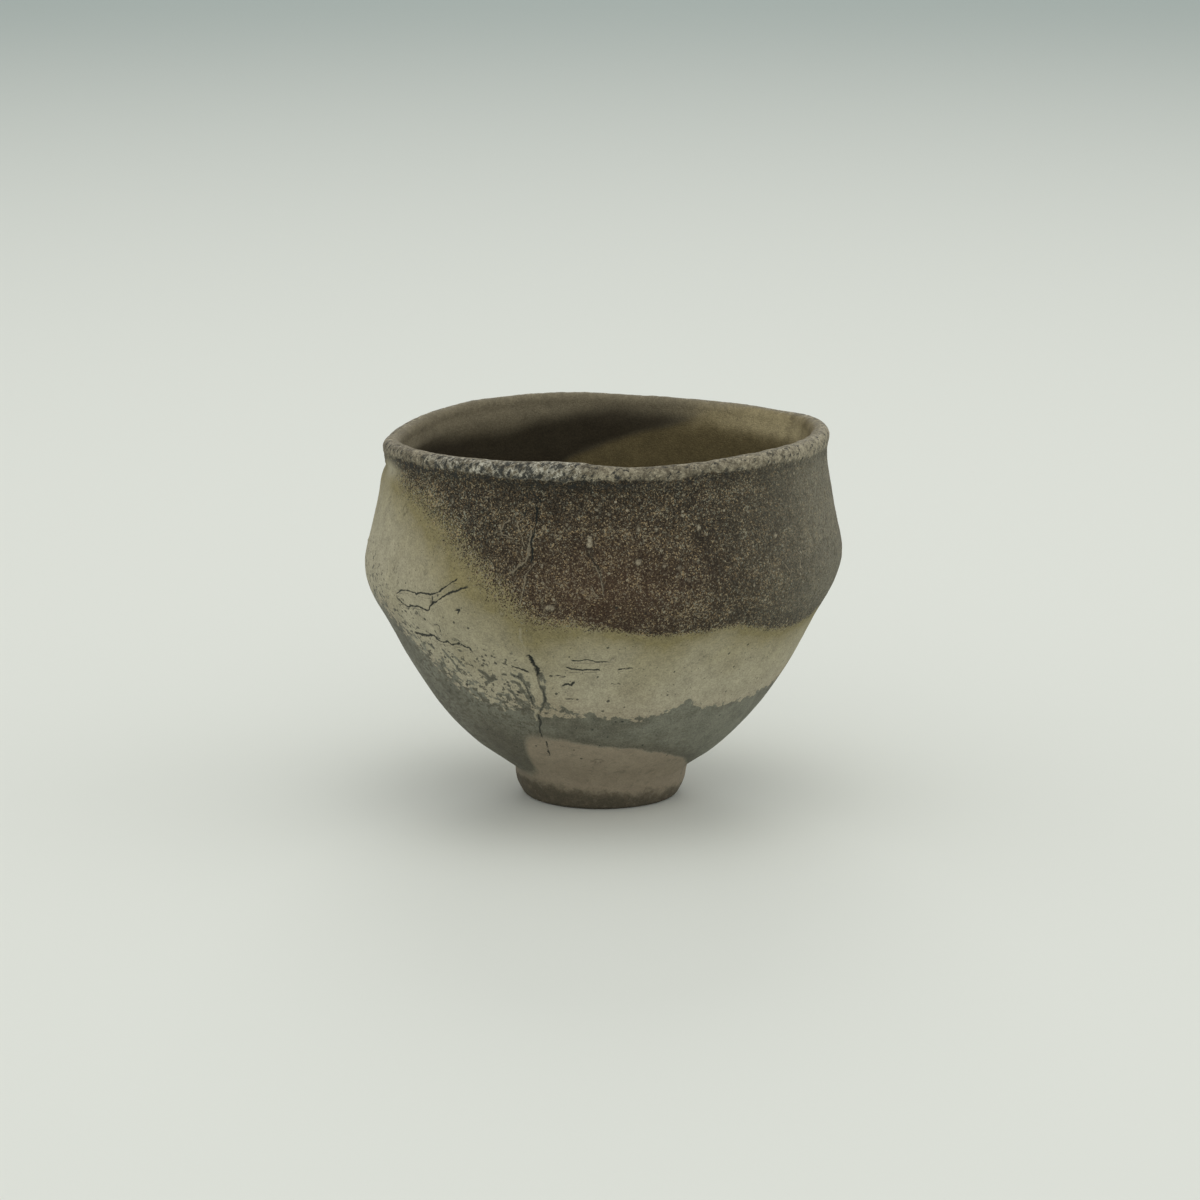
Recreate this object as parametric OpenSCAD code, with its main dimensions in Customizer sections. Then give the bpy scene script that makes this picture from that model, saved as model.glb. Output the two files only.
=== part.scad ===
// A guinomi: a small hand-built sake cup of coarse stoneware.
// It stands on a luted foot ring. A base disc closes it, a lower strap of clay flares up to a soft shoulder,
// an upper strap leans back in, and a thinner coil makes the wavy lip. The clay pieces meet face to face.
// The origin is on the table, z = 0, under the middle of the body, and the front of the cup faces -Y.

/* [Height] */
// Mean height of the lip above the table
cup_height = 54.5; // [46:0.1:66]
// Half the height of the lip's wave, from its lowest to its highest place
rim_wave = 1.4; // [0:0.1:2.5]
// Step in the lip where the end of the coil laps over its start
lip_step = 0.25; // [0:0.05:0.6]
// Place of that step round the cup, in degrees from +X
lip_step_angle = 266; // [180:1:359]

/* [Body] */
// Width across the shoulder's corner, before the corner is rounded
shoulder_width = 70.8; // [66:0.1:82]
// Mean height of the shoulder's corner
shoulder_height = 34.5; // [28:0.1:40]
// How far the shoulder sinks on the left and climbs on the right
shoulder_tilt = 0.95; // [0:0.05:2]
// Thickness of the wall up to the shoulder
wall_thick = 3.7; // [2.6:0.1:5]
// Width at which the slope of the underside would meet the slope of the lower wall
flare_width = 43.3; // [36:0.1:50]
// Height at which they would meet
flare_height = 9.1; // [7.5:0.1:13]
// How far the upper body leans over to the right of the foot
lean = 0.8; // [0:0.1:1]
// Height at which the lean starts
lean_start = 12; // [8:0.5:20]
// How far the body is out of round
oval = 0.25; // [0:0.05:0.6]

/* [Lip] */
// Width across the lip's outer edge
lip_width = 65.2; // [58:0.1:70]
// Thickness of the lip
lip_thick = 2.8; // [2:0.1:4]
// Height of the lip's rounded top above its straight edges
lip_round = 1.5; // [1:0.1:2.2]
// Width across the neck below the lip
neck_width = 64.6; // [58:0.1:70]
// Thickness of the wall at the neck
neck_thick = 3; // [2.2:0.1:4.5]
// Mean drop from the top of the lip to the neck
neck_drop = 3.9; // [3.6:0.1:7]
// How much less that drop is on the left and more on the right
neck_tilt = 0.75; // [0:0.05:0.9]
// How far the neck is drawn in under the lip on the left
neck_groove = 0.5; // [0:0.05:0.8]

/* [Seam] */
// Place of the straps' closing seam round the cup, in degrees from +X
seam_angle = 252; // [180:1:359]
// How far the end of each strap stands proud where it laps over its start
seam_lap = 0.3; // [0:0.05:0.8]

/* [Base] */
// Thickness of the base disc at its middle
base_thick = 3.3; // [2.4:0.1:5]
// Width of the flat bottom of the well
well_width = 17; // [10:0.5:24]
// Rise of the base disc's underside at its middle
base_arch = 0.7; // [0:0.1:1.5]

/* [Foot] */
// Width of the foot's seat on the table
foot_width = 22.7; // [19:0.1:24.5]
// Width of the foot where it meets the body
waist_width = 25.3; // [25:0.1:32]
// Height of the foot
foot_height = 4.9; // [4.6:0.1:6.5]
// Width of the flat seat's opening inside the foot
recess_width = 15; // [12:0.1:16]
// Width of the recess where the foot meets the base
recess_top_width = 14; // [12:0.1:15]
// Rounding of the foot's lower edges
foot_round = 0.7; // [0.2:0.1:1.2]

/* [Hidden] */

// Colours as the photograph shows them
lip_colour = "#8c8373";
upper_colour = "#5b4b3d";
lower_colour = "#a1997f";
base_colour = "#8d8374";
foot_colour = "#7d6c5e";

// Sectors round the cup
sectors = 90;
sector_angle = 360 / sectors;
foot_sides = 120;

// Steps of the rounded bends, the outer face first and the inner face second
flare_steps = 10;
flare_in_steps = 6;
shoulder_steps = 6;
shoulder_in_steps = 4;
neck_steps = 2;
lip_steps = 4;
well_steps = 3;
arch_steps = 2;
foot_steps = 4;

// Radii
shoulder_radius = shoulder_width / 2;
flare_radius = flare_width / 2;
lip_radius = lip_width / 2;
neck_radius = neck_width / 2;
well_radius = well_width / 2;
foot_radius = foot_width / 2;
waist_radius = waist_width / 2;
recess_radius = recess_width / 2;
recess_top_radius = recess_top_width / 2;

// Shares of the straight stretches that the bends take up at each corner
flare_out_share = 0.54;
shoulder_low_share = 0.15;
shoulder_high_share = 0.2;
neck_low_share = 0.1;
neck_high_share = 0.5;
inner_shoulder_share = 0.22;
// Share of the foot's height at which its side turns upright
foot_turn_share = 0.5;
// Step of the flare's bend at which the lower strap stands on the base disc
base_joint_step = 2;
// Share of the way up the straight stretches at which a hollow lies, and its depths
hollow_low_share = 0.45;
hollow_high_share = 0.55;
hollow_low = 0.1;
hollow_high = 0.06;

// Heights of the lip round the cup, as shares of its wave, at equal steps from +X
wave_shares = [0.45, 0.2, -0.15, -0.1, 0.1, 0.5, 0.45, 0.05, -0.65,
    -0.8, -0.35, -0.15, 0.1, 0.3, -0.1, 0.15, 0.33, 0.45];
// Angle over which a lap fades into the wall beside it
lip_fade_angle = 22;
seam_fade_angle = 34;
// Direction in which the body is widest
oval_angle = 35;

// Angle from one place to another, between -180 and 180 degrees
function turn(from, to) = (to - from) - 360 * round((to - from) / 360);

// Value at t between b and c on a smooth curve through a, b, c and d
function through(a, b, c, d, t) =
    b + (c - a + (2 * a - 5 * b + 4 * c - d + (3 * (b - c) + d - a) * t) * t) * t / 2;

// Share of the wave at an angle, smooth all the way round
function wave_at(angle) =
    let (
        count = len(wave_shares),
        place = angle / 360 * count,
        k = floor(place)
    )
    through(
        wave_shares[(k + count - 1) % count],
        wave_shares[k % count],
        wave_shares[(k + 1) % count],
        wave_shares[(k + 2) % count],
        place - k);

// One at a lap, fading to nothing over an angle behind it
function fading(turned, fade_angle) = pow(max(0, 1 - abs(turned) / fade_angle), 2);

// Height of the top of the lip at an angle
function rim_height(angle) =
    let (turned = turn(lip_step_angle, angle), side = turned <= 0 ? 1 : -1)
    cup_height + rim_wave * wave_at(angle) + side * lip_step * fading(turned, lip_fade_angle);

// How far the body's skin stands out at an angle, at the width of the shoulder
function hand_shape(angle) =
    let (turned = turn(seam_angle, angle))
    oval * cos(2 * (angle - oval_angle))
        + (turned <= 0 ? seam_lap * fading(turned, seam_fade_angle) : 0);

// Sideways place of the cup's middle at a height
function middle_at(z) = lean * max(0, z - lean_start) / (cup_height - lean_start) - lean / 2;

// Point in space of the outline's point [radius, height] at an angle
function placed(point, angle) =
    let (
        raised_share = min(1, max(0, point[1] - foot_height) / (shoulder_height - foot_height)),
        radius = point[0] * (1 + hand_shape(angle) * raised_share / shoulder_radius)
    )
    [middle_at(point[1]) + radius * cos(angle), radius * sin(angle), point[1]];

// Point at a share of the way from a to b
function between(a, b, share) = a + (b - a) * share;

// Same point, moved inward by a depth
function hollowed(point, depth) = point - [depth, 0];

// Inward normal of the straight stretch from a to b, going up the outside
function inward(a, b) = let (d = (b - a) / norm(b - a)) [-d[1], d[0]];

// Corner of the inner face behind corner b, with the wall's thickness on both sides of it
function inner_corner(a, b, c, thick) =
    let (n = inward(a, b), m = inward(b, c))
    b + (n + m) * thick / (1 + n * m);

// Smooth bend in place of corner b, from a share of the way to a to a share of the way to c
function bend(a, b, c, a_share, c_share, steps) =
    let (p = between(b, a, a_share), q = between(b, c, c_share))
    [for (i = [0:steps])
        let (t = i / steps)
        pow(1 - t, 2) * p + 2 * t * (1 - t) * b + t * t * q];

// Part of a list, both ends included
function part(list, first, last) = [for (i = [first:last]) list[i]];
function backward(list) = [for (i = [len(list) - 1:-1:0]) list[i]];

// Corners of the outer face
waist = [waist_radius, foot_height];
flare = [flare_radius, flare_height];
function shoulder(angle) = [shoulder_radius, shoulder_height + shoulder_tilt * cos(angle)];
function neck(angle) = [neck_radius, rim_height(angle) - neck_drop - neck_tilt * cos(angle)];
function lip_edge(angle) = [lip_radius, rim_height(angle) - lip_round];

// Corners of the inner face
base_top = foot_height + base_arch + base_thick;
well_middle = [0, base_top];
well_edge = [well_radius, base_top];
function inner_flare(angle) = inner_corner(waist, flare, shoulder(angle), wall_thick);
function inner_shoulder(angle) =
    inner_corner(flare, shoulder(angle), neck(angle), wall_thick);
function inner_neck(angle) =
    inner_corner(shoulder(angle), neck(angle), lip_edge(angle), neck_thick);
function inner_lip_edge(angle) = lip_edge(angle) - [lip_thick, 0];

// Bends of the outer face
function flare_bend(angle) = bend(waist, flare, shoulder(angle), 1, flare_out_share, flare_steps);
function shoulder_bend(angle) = bend(flare, shoulder(angle), neck(angle),
    shoulder_low_share, shoulder_high_share, shoulder_steps);
// The neck's groove is deepest on the left and runs out on the right
function neck_bend(angle) =
    let (
        smooth = bend(shoulder(angle), neck(angle), lip_edge(angle),
            neck_low_share, neck_high_share, neck_steps),
        groove = neck_groove * (1 - cos(angle)) / 2
    )
    [smooth[0], hollowed(smooth[1], groove), smooth[2]];

// Bends of the inner face, going up
function well_bend(angle) = bend(well_middle, well_edge, inner_flare(angle), 1, 0.5, well_steps);
function inner_flare_bend(angle) = bend(well_edge, inner_flare(angle), inner_shoulder(angle),
    0.5, flare_out_share, flare_in_steps);
function inner_shoulder_bend(angle) = bend(inner_flare(angle), inner_shoulder(angle), inner_neck(angle),
    inner_shoulder_share, inner_shoulder_share, shoulder_in_steps);
function inner_neck_bend(angle) = bend(inner_shoulder(angle), inner_neck(angle), inner_lip_edge(angle),
    neck_low_share, neck_high_share, neck_steps);

// Point of a straight stretch between two bends, drawn in a little by the maker's fingers
function hollow_between(low, high, share, depth) = hollowed(between(low, high, share), depth);

// Outline of the lip coil at an angle: up the outside, over the top and down the inside
function lip_outline(angle) =
    let (
        out = neck_bend(angle),
        in = inner_neck_bend(angle),
        edge = lip_edge(angle),
        in_edge = inner_lip_edge(angle),
        top = between(edge, in_edge, 0.5) + [0, lip_round],
        out_corner = edge + [0, lip_round],
        in_corner = in_edge + [0, lip_round]
    )
    concat(
        part(out, 1, neck_steps),
        bend(edge, out_corner, top, 1, 1, lip_steps),
        part(bend(top, in_corner, in_edge, 1, 1, lip_steps), 1, lip_steps),
        backward(part(in, 1, neck_steps)));

// Outline of the upper strap at an angle, from the shoulder's joint to the neck's joint and back
function upper_outline(angle) =
    let (
        half = shoulder_steps / 2,
        in_half = shoulder_in_steps / 2,
        low = shoulder_bend(angle),
        high = neck_bend(angle),
        in_low = inner_shoulder_bend(angle),
        in_high = inner_neck_bend(angle)
    )
    concat(
        part(low, half, shoulder_steps),
        [hollow_between(low[shoulder_steps], high[0], hollow_high_share, hollow_high)],
        part(high, 0, 1),
        backward(part(in_high, 0, 1)),
        [hollow_between(in_low[shoulder_in_steps], in_high[0], hollow_high_share, hollow_high)],
        backward(part(in_low, in_half, shoulder_in_steps)));

// Outline of the lower strap at an angle, from the base's joint to the shoulder's joint and back
function lower_outline(angle) =
    let (
        half = shoulder_steps / 2,
        in_half = shoulder_in_steps / 2,
        low = flare_bend(angle),
        high = shoulder_bend(angle),
        in_low = inner_flare_bend(angle),
        in_high = inner_shoulder_bend(angle)
    )
    concat(
        part(low, base_joint_step, flare_steps),
        [hollow_between(low[flare_steps], high[0], hollow_low_share, hollow_low)],
        part(high, 0, half),
        backward(part(in_high, 0, in_half)),
        [hollow_between(in_low[flare_in_steps], in_high[0], hollow_low_share, hollow_low)],
        backward(in_low));

// Outline of the base disc at an angle, from the middle of its underside to the middle of the well
function base_outline(angle) =
    let (
        arch_middle = [0, foot_height + base_arch],
        arch_corner = [recess_top_radius / 2, foot_height + base_arch],
        seat = [recess_top_radius, foot_height]
    )
    concat(
        bend(arch_middle, arch_corner, seat, 1, 1, arch_steps),
        part(flare_bend(angle), 0, base_joint_step),
        backward(well_bend(angle)));

// Two triangles of the patch a, b, c, d, split along its shorter diagonal
function patch(points, a, b, c, d) =
    norm(points[a] - points[c]) < norm(points[b] - points[d])
        ? [[a, b, c], [a, c, d]]
        : [[a, b, d], [b, c, d]];

// Closed ring whose outline changes round the cup
module ring(outlines) {
    count = len(outlines[0]);
    points = [for (s = [0:sectors - 1]) for (p = outlines[s]) placed(p, s * sector_angle)];
    faces = [
        for (s = [0:sectors - 1])
            for (i = [0:count - 1])
                let (
                    next = (s + 1) % sectors,
                    j = (i + 1) % count
                )
                each patch(points, s * count + i, s * count + j, next * count + j, next * count + i)
    ];
    polyhedron(points = points, faces = faces);
}

// Closed disc whose outline runs from the axis below to the axis above
module disc(outlines) {
    count = len(outlines[0]) - 2;
    under = outlines[0][0];
    over = outlines[0][count + 1];
    points = concat(
        [for (s = [0:sectors - 1]) for (i = [1:count]) placed(outlines[s][i], s * sector_angle)],
        [placed(under, 0), placed(over, 0)]);
    middle = sectors * count;
    faces = [
        for (s = [0:sectors - 1])
            let (
                here = s * count,
                next = (s + 1) % sectors * count
            )
            each concat(
                [[middle, here, next]],
                [for (i = [0:count - 2]) each patch(points, here + i, here + i + 1, next + i + 1, next + i)],
                [[here + count - 1, middle + 1, next + count - 1]])
    ];
    polyhedron(points = points, faces = faces);
}

module lip() {
    color(lip_colour)
        ring([for (s = [0:sectors - 1]) lip_outline(s * sector_angle)]);
}

module upper_wall() {
    color(upper_colour)
        ring([for (s = [0:sectors - 1]) upper_outline(s * sector_angle)]);
}

module lower_wall() {
    color(lower_colour)
        ring([for (s = [0:sectors - 1]) lower_outline(s * sector_angle)]);
}

module base() {
    color(base_colour)
        disc([for (s = [0:sectors - 1]) base_outline(s * sector_angle)]);
}

// The foot is turned true, with a flat seat and soft edges
module foot_ring() {
    turn_height = foot_height * foot_turn_share;
    seat_out = [foot_radius, 0];
    seat_in = [recess_radius, 0];
    side = [waist_radius, turn_height];
    seat_share = foot_round / (foot_radius - recess_radius);
    side_share = foot_round / norm(side - seat_out);
    recess_top = [recess_top_radius, foot_height];
    recess_share = foot_round / norm(recess_top - seat_in);
    color(foot_colour)
        translate([middle_at(0), 0, 0])
            rotate_extrude($fn = foot_sides)
                polygon(concat(
                    bend(recess_top, seat_in, seat_out, recess_share, seat_share, foot_steps),
                    bend(seat_in, seat_out, side, seat_share, side_share, foot_steps),
                    bend(seat_out, side, waist, 0.5, 0.5, foot_steps),
                    [waist, recess_top]));
}

lip();
upper_wall();
lower_wall();
base();
foot_ring();
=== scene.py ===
"""Looks of a hand-built guinomi, a small stoneware sake cup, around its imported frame.

The cup's skin is one fine grid of columns round the cup and rows along its outline, from the middle of
the underside, up the outside, over the lip and down to the middle of the well. Relief is worked into the
grid, and it is then parted into the five clay pieces of the frame. The cup's sizes are in millimetres.
"""

from __future__ import annotations

import logging
import math
from dataclasses import dataclass, field
from enum import Enum

import bmesh
import bpy
import numpy as np
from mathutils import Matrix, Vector


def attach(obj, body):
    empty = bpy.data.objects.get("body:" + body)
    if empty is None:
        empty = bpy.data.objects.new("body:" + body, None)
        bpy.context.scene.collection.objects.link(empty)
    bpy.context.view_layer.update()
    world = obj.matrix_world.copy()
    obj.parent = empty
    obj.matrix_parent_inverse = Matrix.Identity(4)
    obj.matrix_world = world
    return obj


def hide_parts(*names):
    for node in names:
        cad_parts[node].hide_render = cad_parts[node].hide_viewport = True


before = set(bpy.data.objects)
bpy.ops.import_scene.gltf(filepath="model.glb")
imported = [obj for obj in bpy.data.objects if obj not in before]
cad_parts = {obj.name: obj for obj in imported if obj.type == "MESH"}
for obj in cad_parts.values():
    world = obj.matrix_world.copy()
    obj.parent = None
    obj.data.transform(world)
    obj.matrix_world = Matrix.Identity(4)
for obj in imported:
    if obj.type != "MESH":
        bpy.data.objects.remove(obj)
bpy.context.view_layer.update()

LOG = logging.getLogger("guinomi")
BODY = "root"
MM = 0.001

HALF = 0.5
TINY = 1e-9
FULL_TURN = 360.0
# Share of the way over the lip at which the outside's clay gives way to the bowl's
OVER_LIP = (0.3, 0.7)

Table = tuple[tuple[float, float], ...]
# Two values that belong together, such as the edges of a step, the ends of a range or a height and a size
Edges = tuple[float, float]
Colour = tuple[float, float, float]
Way = tuple[float, float, float]
Stops = tuple[tuple[float, Colour], ...]
Array = np.ndarray


class Run(Enum):
    """Stretches of the outline, in order from the underside's middle to the well's middle."""

    UNDER_BASE = "under_base"
    FOOT = "foot"
    BASE_SIDE = "base_side"
    LOWER_OUT = "lower_out"
    UPPER_OUT = "upper_out"
    LIP = "lip"
    UPPER_IN = "upper_in"
    LOWER_IN = "lower_in"
    WELL = "well"


class Face(Enum):
    """Which way a stretch of the skin looks."""

    OUTSIDE = "outside"
    INSIDE = "inside"
    BELOW = "below"


class Clay(Enum):
    """The record's material slots."""

    LIP = "lip_clay"
    SCORCHED = "scorched_clay"
    ASH = "ash_clay"
    BARE = "bare_clay"


RUN_FACES = {
    **dict.fromkeys(Run, Face.OUTSIDE),
    Run.UNDER_BASE: Face.BELOW,
    **dict.fromkeys((Run.UPPER_IN, Run.LOWER_IN, Run.WELL), Face.INSIDE),
}

# Each clay piece: the node it stands for, its stretches in loop order, and its slot
PIECES: tuple[tuple[str, tuple[Run, ...], Clay], ...] = (
    ("foot_ring", (Run.FOOT,), Clay.BARE),
    ("base", (Run.UNDER_BASE, Run.BASE_SIDE, Run.WELL), Clay.ASH),
    ("lower_wall", (Run.LOWER_OUT, Run.LOWER_IN), Clay.ASH),
    ("upper_wall", (Run.UPPER_OUT, Run.UPPER_IN), Clay.SCORCHED),
    ("lip", (Run.LIP,), Clay.LIP),
)


def ease(value: Array, low: float | Array, high: float | Array) -> Array:
    """Smooth step from 0 at low to 1 at high.

    Args:
        value: What is compared.
        low: Value at which the step starts.
        high: Value at which it ends, above or below low.

    Returns:
        The step's height at each value.
    """
    t = np.clip((value - low) / (high - low), 0.0, 1.0)
    return t * t * (3.0 - 2.0 * t)


def hill(distance: Array, width: float | Array) -> Array:
    """Rounded hill of height 1 that falls to 0.37 at a distance of one width."""
    return np.exp(-np.square(distance / width))


def turn(start: float | Array, end: float | Array) -> Array:
    """Angle from start to end in degrees, between -180 and 180."""
    half = FULL_TURN / 2.0
    return (np.asarray(end) - start + half) % FULL_TURN - half


def between(a: Array, b: Array, share: float | Array) -> Array:
    """Point at a share of the way from a to b."""
    return a + (b - a) * share


@dataclass(frozen=True)
class Swell:
    """A rounded swelling: its height, and the place and half width of its top."""

    top: float
    place: float
    width: float

    def at(self, value: Array) -> Array:
        """Height of the swelling at each value."""
        return self.top * hill(value - self.place, self.width)


@dataclass(frozen=True)
class Patch:
    """A soft patch round an angle, at a height or a drop below the rim, with its two half widths."""

    angle: float
    width: float
    height: float = 0.0
    reach: float = 1.0
    strength: float = 1.0

    def round_way(self, angle: Array) -> Array:
        """Strength of the patch at each angle, whatever the height."""
        return self.strength * hill(turn(self.angle, angle), self.width)

    def over(self, angle: Array, height: Array) -> Array:
        """Strength of the patch at each angle and height."""
        return self.round_way(angle) * hill(height - self.height, self.reach)


def bend(a: Array, b: Array, c: Array, a_share: float, c_share: float, steps: int = 40) -> Array:
    """Smooth bend in place of the corner b of an outline, for every column.

    Args:
        a: Corner before b, as columns of radius and height.
        b: The corner.
        c: Corner after b.
        a_share: Share of the way from b to a at which the bend starts.
        c_share: Share of the way from b to c at which it ends.
        steps: Steps along the bend.

    Returns:
        Points as columns, steps, and radius and height.
    """
    t = np.linspace(0.0, 1.0, steps + 1)[None, :, None]
    p = between(b, a, a_share)[:, None, :]
    q = between(b, c, c_share)[:, None, :]
    return (1 - t) ** 2 * p + 2 * t * (1 - t) * b[:, None, :] + t**2 * q


def inward(a: Array, b: Array) -> Array:
    """Unit normal to the left of the stretch from a to b, which is inward going up the outside."""
    d = (b - a) / np.linalg.norm(b - a, axis=1, keepdims=True)
    return np.stack([-d[:, 1], d[:, 0]], axis=1)


def inner_corner(a: Array, b: Array, c: Array, thick: float) -> Array:
    """Corner of the inner face behind the corner b, at the wall's thickness from both sides of it."""
    n, m = inward(a, b), inward(b, c)
    return b + (n + m) * thick / (1.0 + (n * m).sum(axis=1, keepdims=True))


def evened(points: Array, rows: int) -> Array:
    """Resamples every column's outline to rows that lie evenly along it.

    Args:
        points: Points as columns, places along the outline, and coordinates.
        rows: Number of rows wanted.

    Returns:
        The evened points, as columns, rows and coordinates.
    """
    steps = np.linalg.norm(np.diff(points, axis=1), axis=2)
    length = np.concatenate([np.zeros((len(points), 1)), np.cumsum(steps, axis=1)], axis=1)
    out = np.empty((len(points), rows, points.shape[2]))
    for column, (line, along) in enumerate(zip(points, length)):
        places = np.linspace(0.0, along[-1], rows)
        for k in range(points.shape[2]):
            out[column, :, k] = np.interp(places, along, line[:, k])
    return out


def round_table(table: Table, angle: Array, soften: float = 1.5) -> Array:
    """Height at each angle of a line drawn round the cup through a few chosen places.

    Args:
        table: Places as angle in degrees and height in millimetres.
        angle: Angles asked for, in degrees.
        soften: Angle over which the line's corners are rounded, in degrees.

    Returns:
        Height at each angle, as a column.
    """
    reach, taps, width = 2.0, 9, 1.4
    places = np.array(sorted((a % FULL_TURN, h) for a, h in table))
    spread = np.linspace(-reach, reach, taps) * soften
    weight = hill(spread, soften * width)
    lines = [np.interp(angle + s, places[:, 0], places[:, 1], period=FULL_TURN) for s in spread]
    return np.tensordot(weight / weight.sum(), np.array(lines), axes=1)[:, None]


class Mottle:
    """Smooth random field in space, the same on every run."""

    TABLE = 48
    SHIFT = 17.3
    FINER = 2.1

    def __init__(self, seed: int) -> None:
        """Draws the field's table, which the seed fixes."""
        self.values = np.random.default_rng(seed).random((self.TABLE,) * 3) * 2.0 - 1.0

    def at(self, points: Array, size: float) -> Array:
        """Value between -1 and 1 at each point.

        Args:
            points: Points in millimetres, with coordinates last.
            size: Size of one blotch in millimetres.

        Returns:
            The field's value at each point.
        """
        place = points / size
        cell = np.floor(place).astype(int)
        t = ease(place - cell, 0.0, 1.0)
        total = np.zeros(points.shape[:-1])
        for corner in np.ndindex(2, 2, 2):
            step = np.array(corner)
            index = (cell + step) % self.TABLE
            weight = np.prod(np.where(step, t, 1.0 - t), axis=-1)
            total += weight * self.values[index[..., 0], index[..., 1], index[..., 2]]
        return total

    def layered(self, points: Array, size: float, layers: int = 3) -> Array:
        """Sum of finer and finer fields, each half as strong as the one before.

        Args:
            points: Points in millimetres, with coordinates last.
            size: Size of the coarsest blotch in millimetres.
            layers: Number of fields.

        Returns:
            The sum at each point, between about -1 and 1.
        """
        total = np.zeros(points.shape[:-1])
        for k in range(layers):
            total += self.at(points + self.SHIFT * k, size / self.FINER**k) / 2.0**k
        return total / (2.0 - 2.0 ** (1 - layers))


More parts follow.
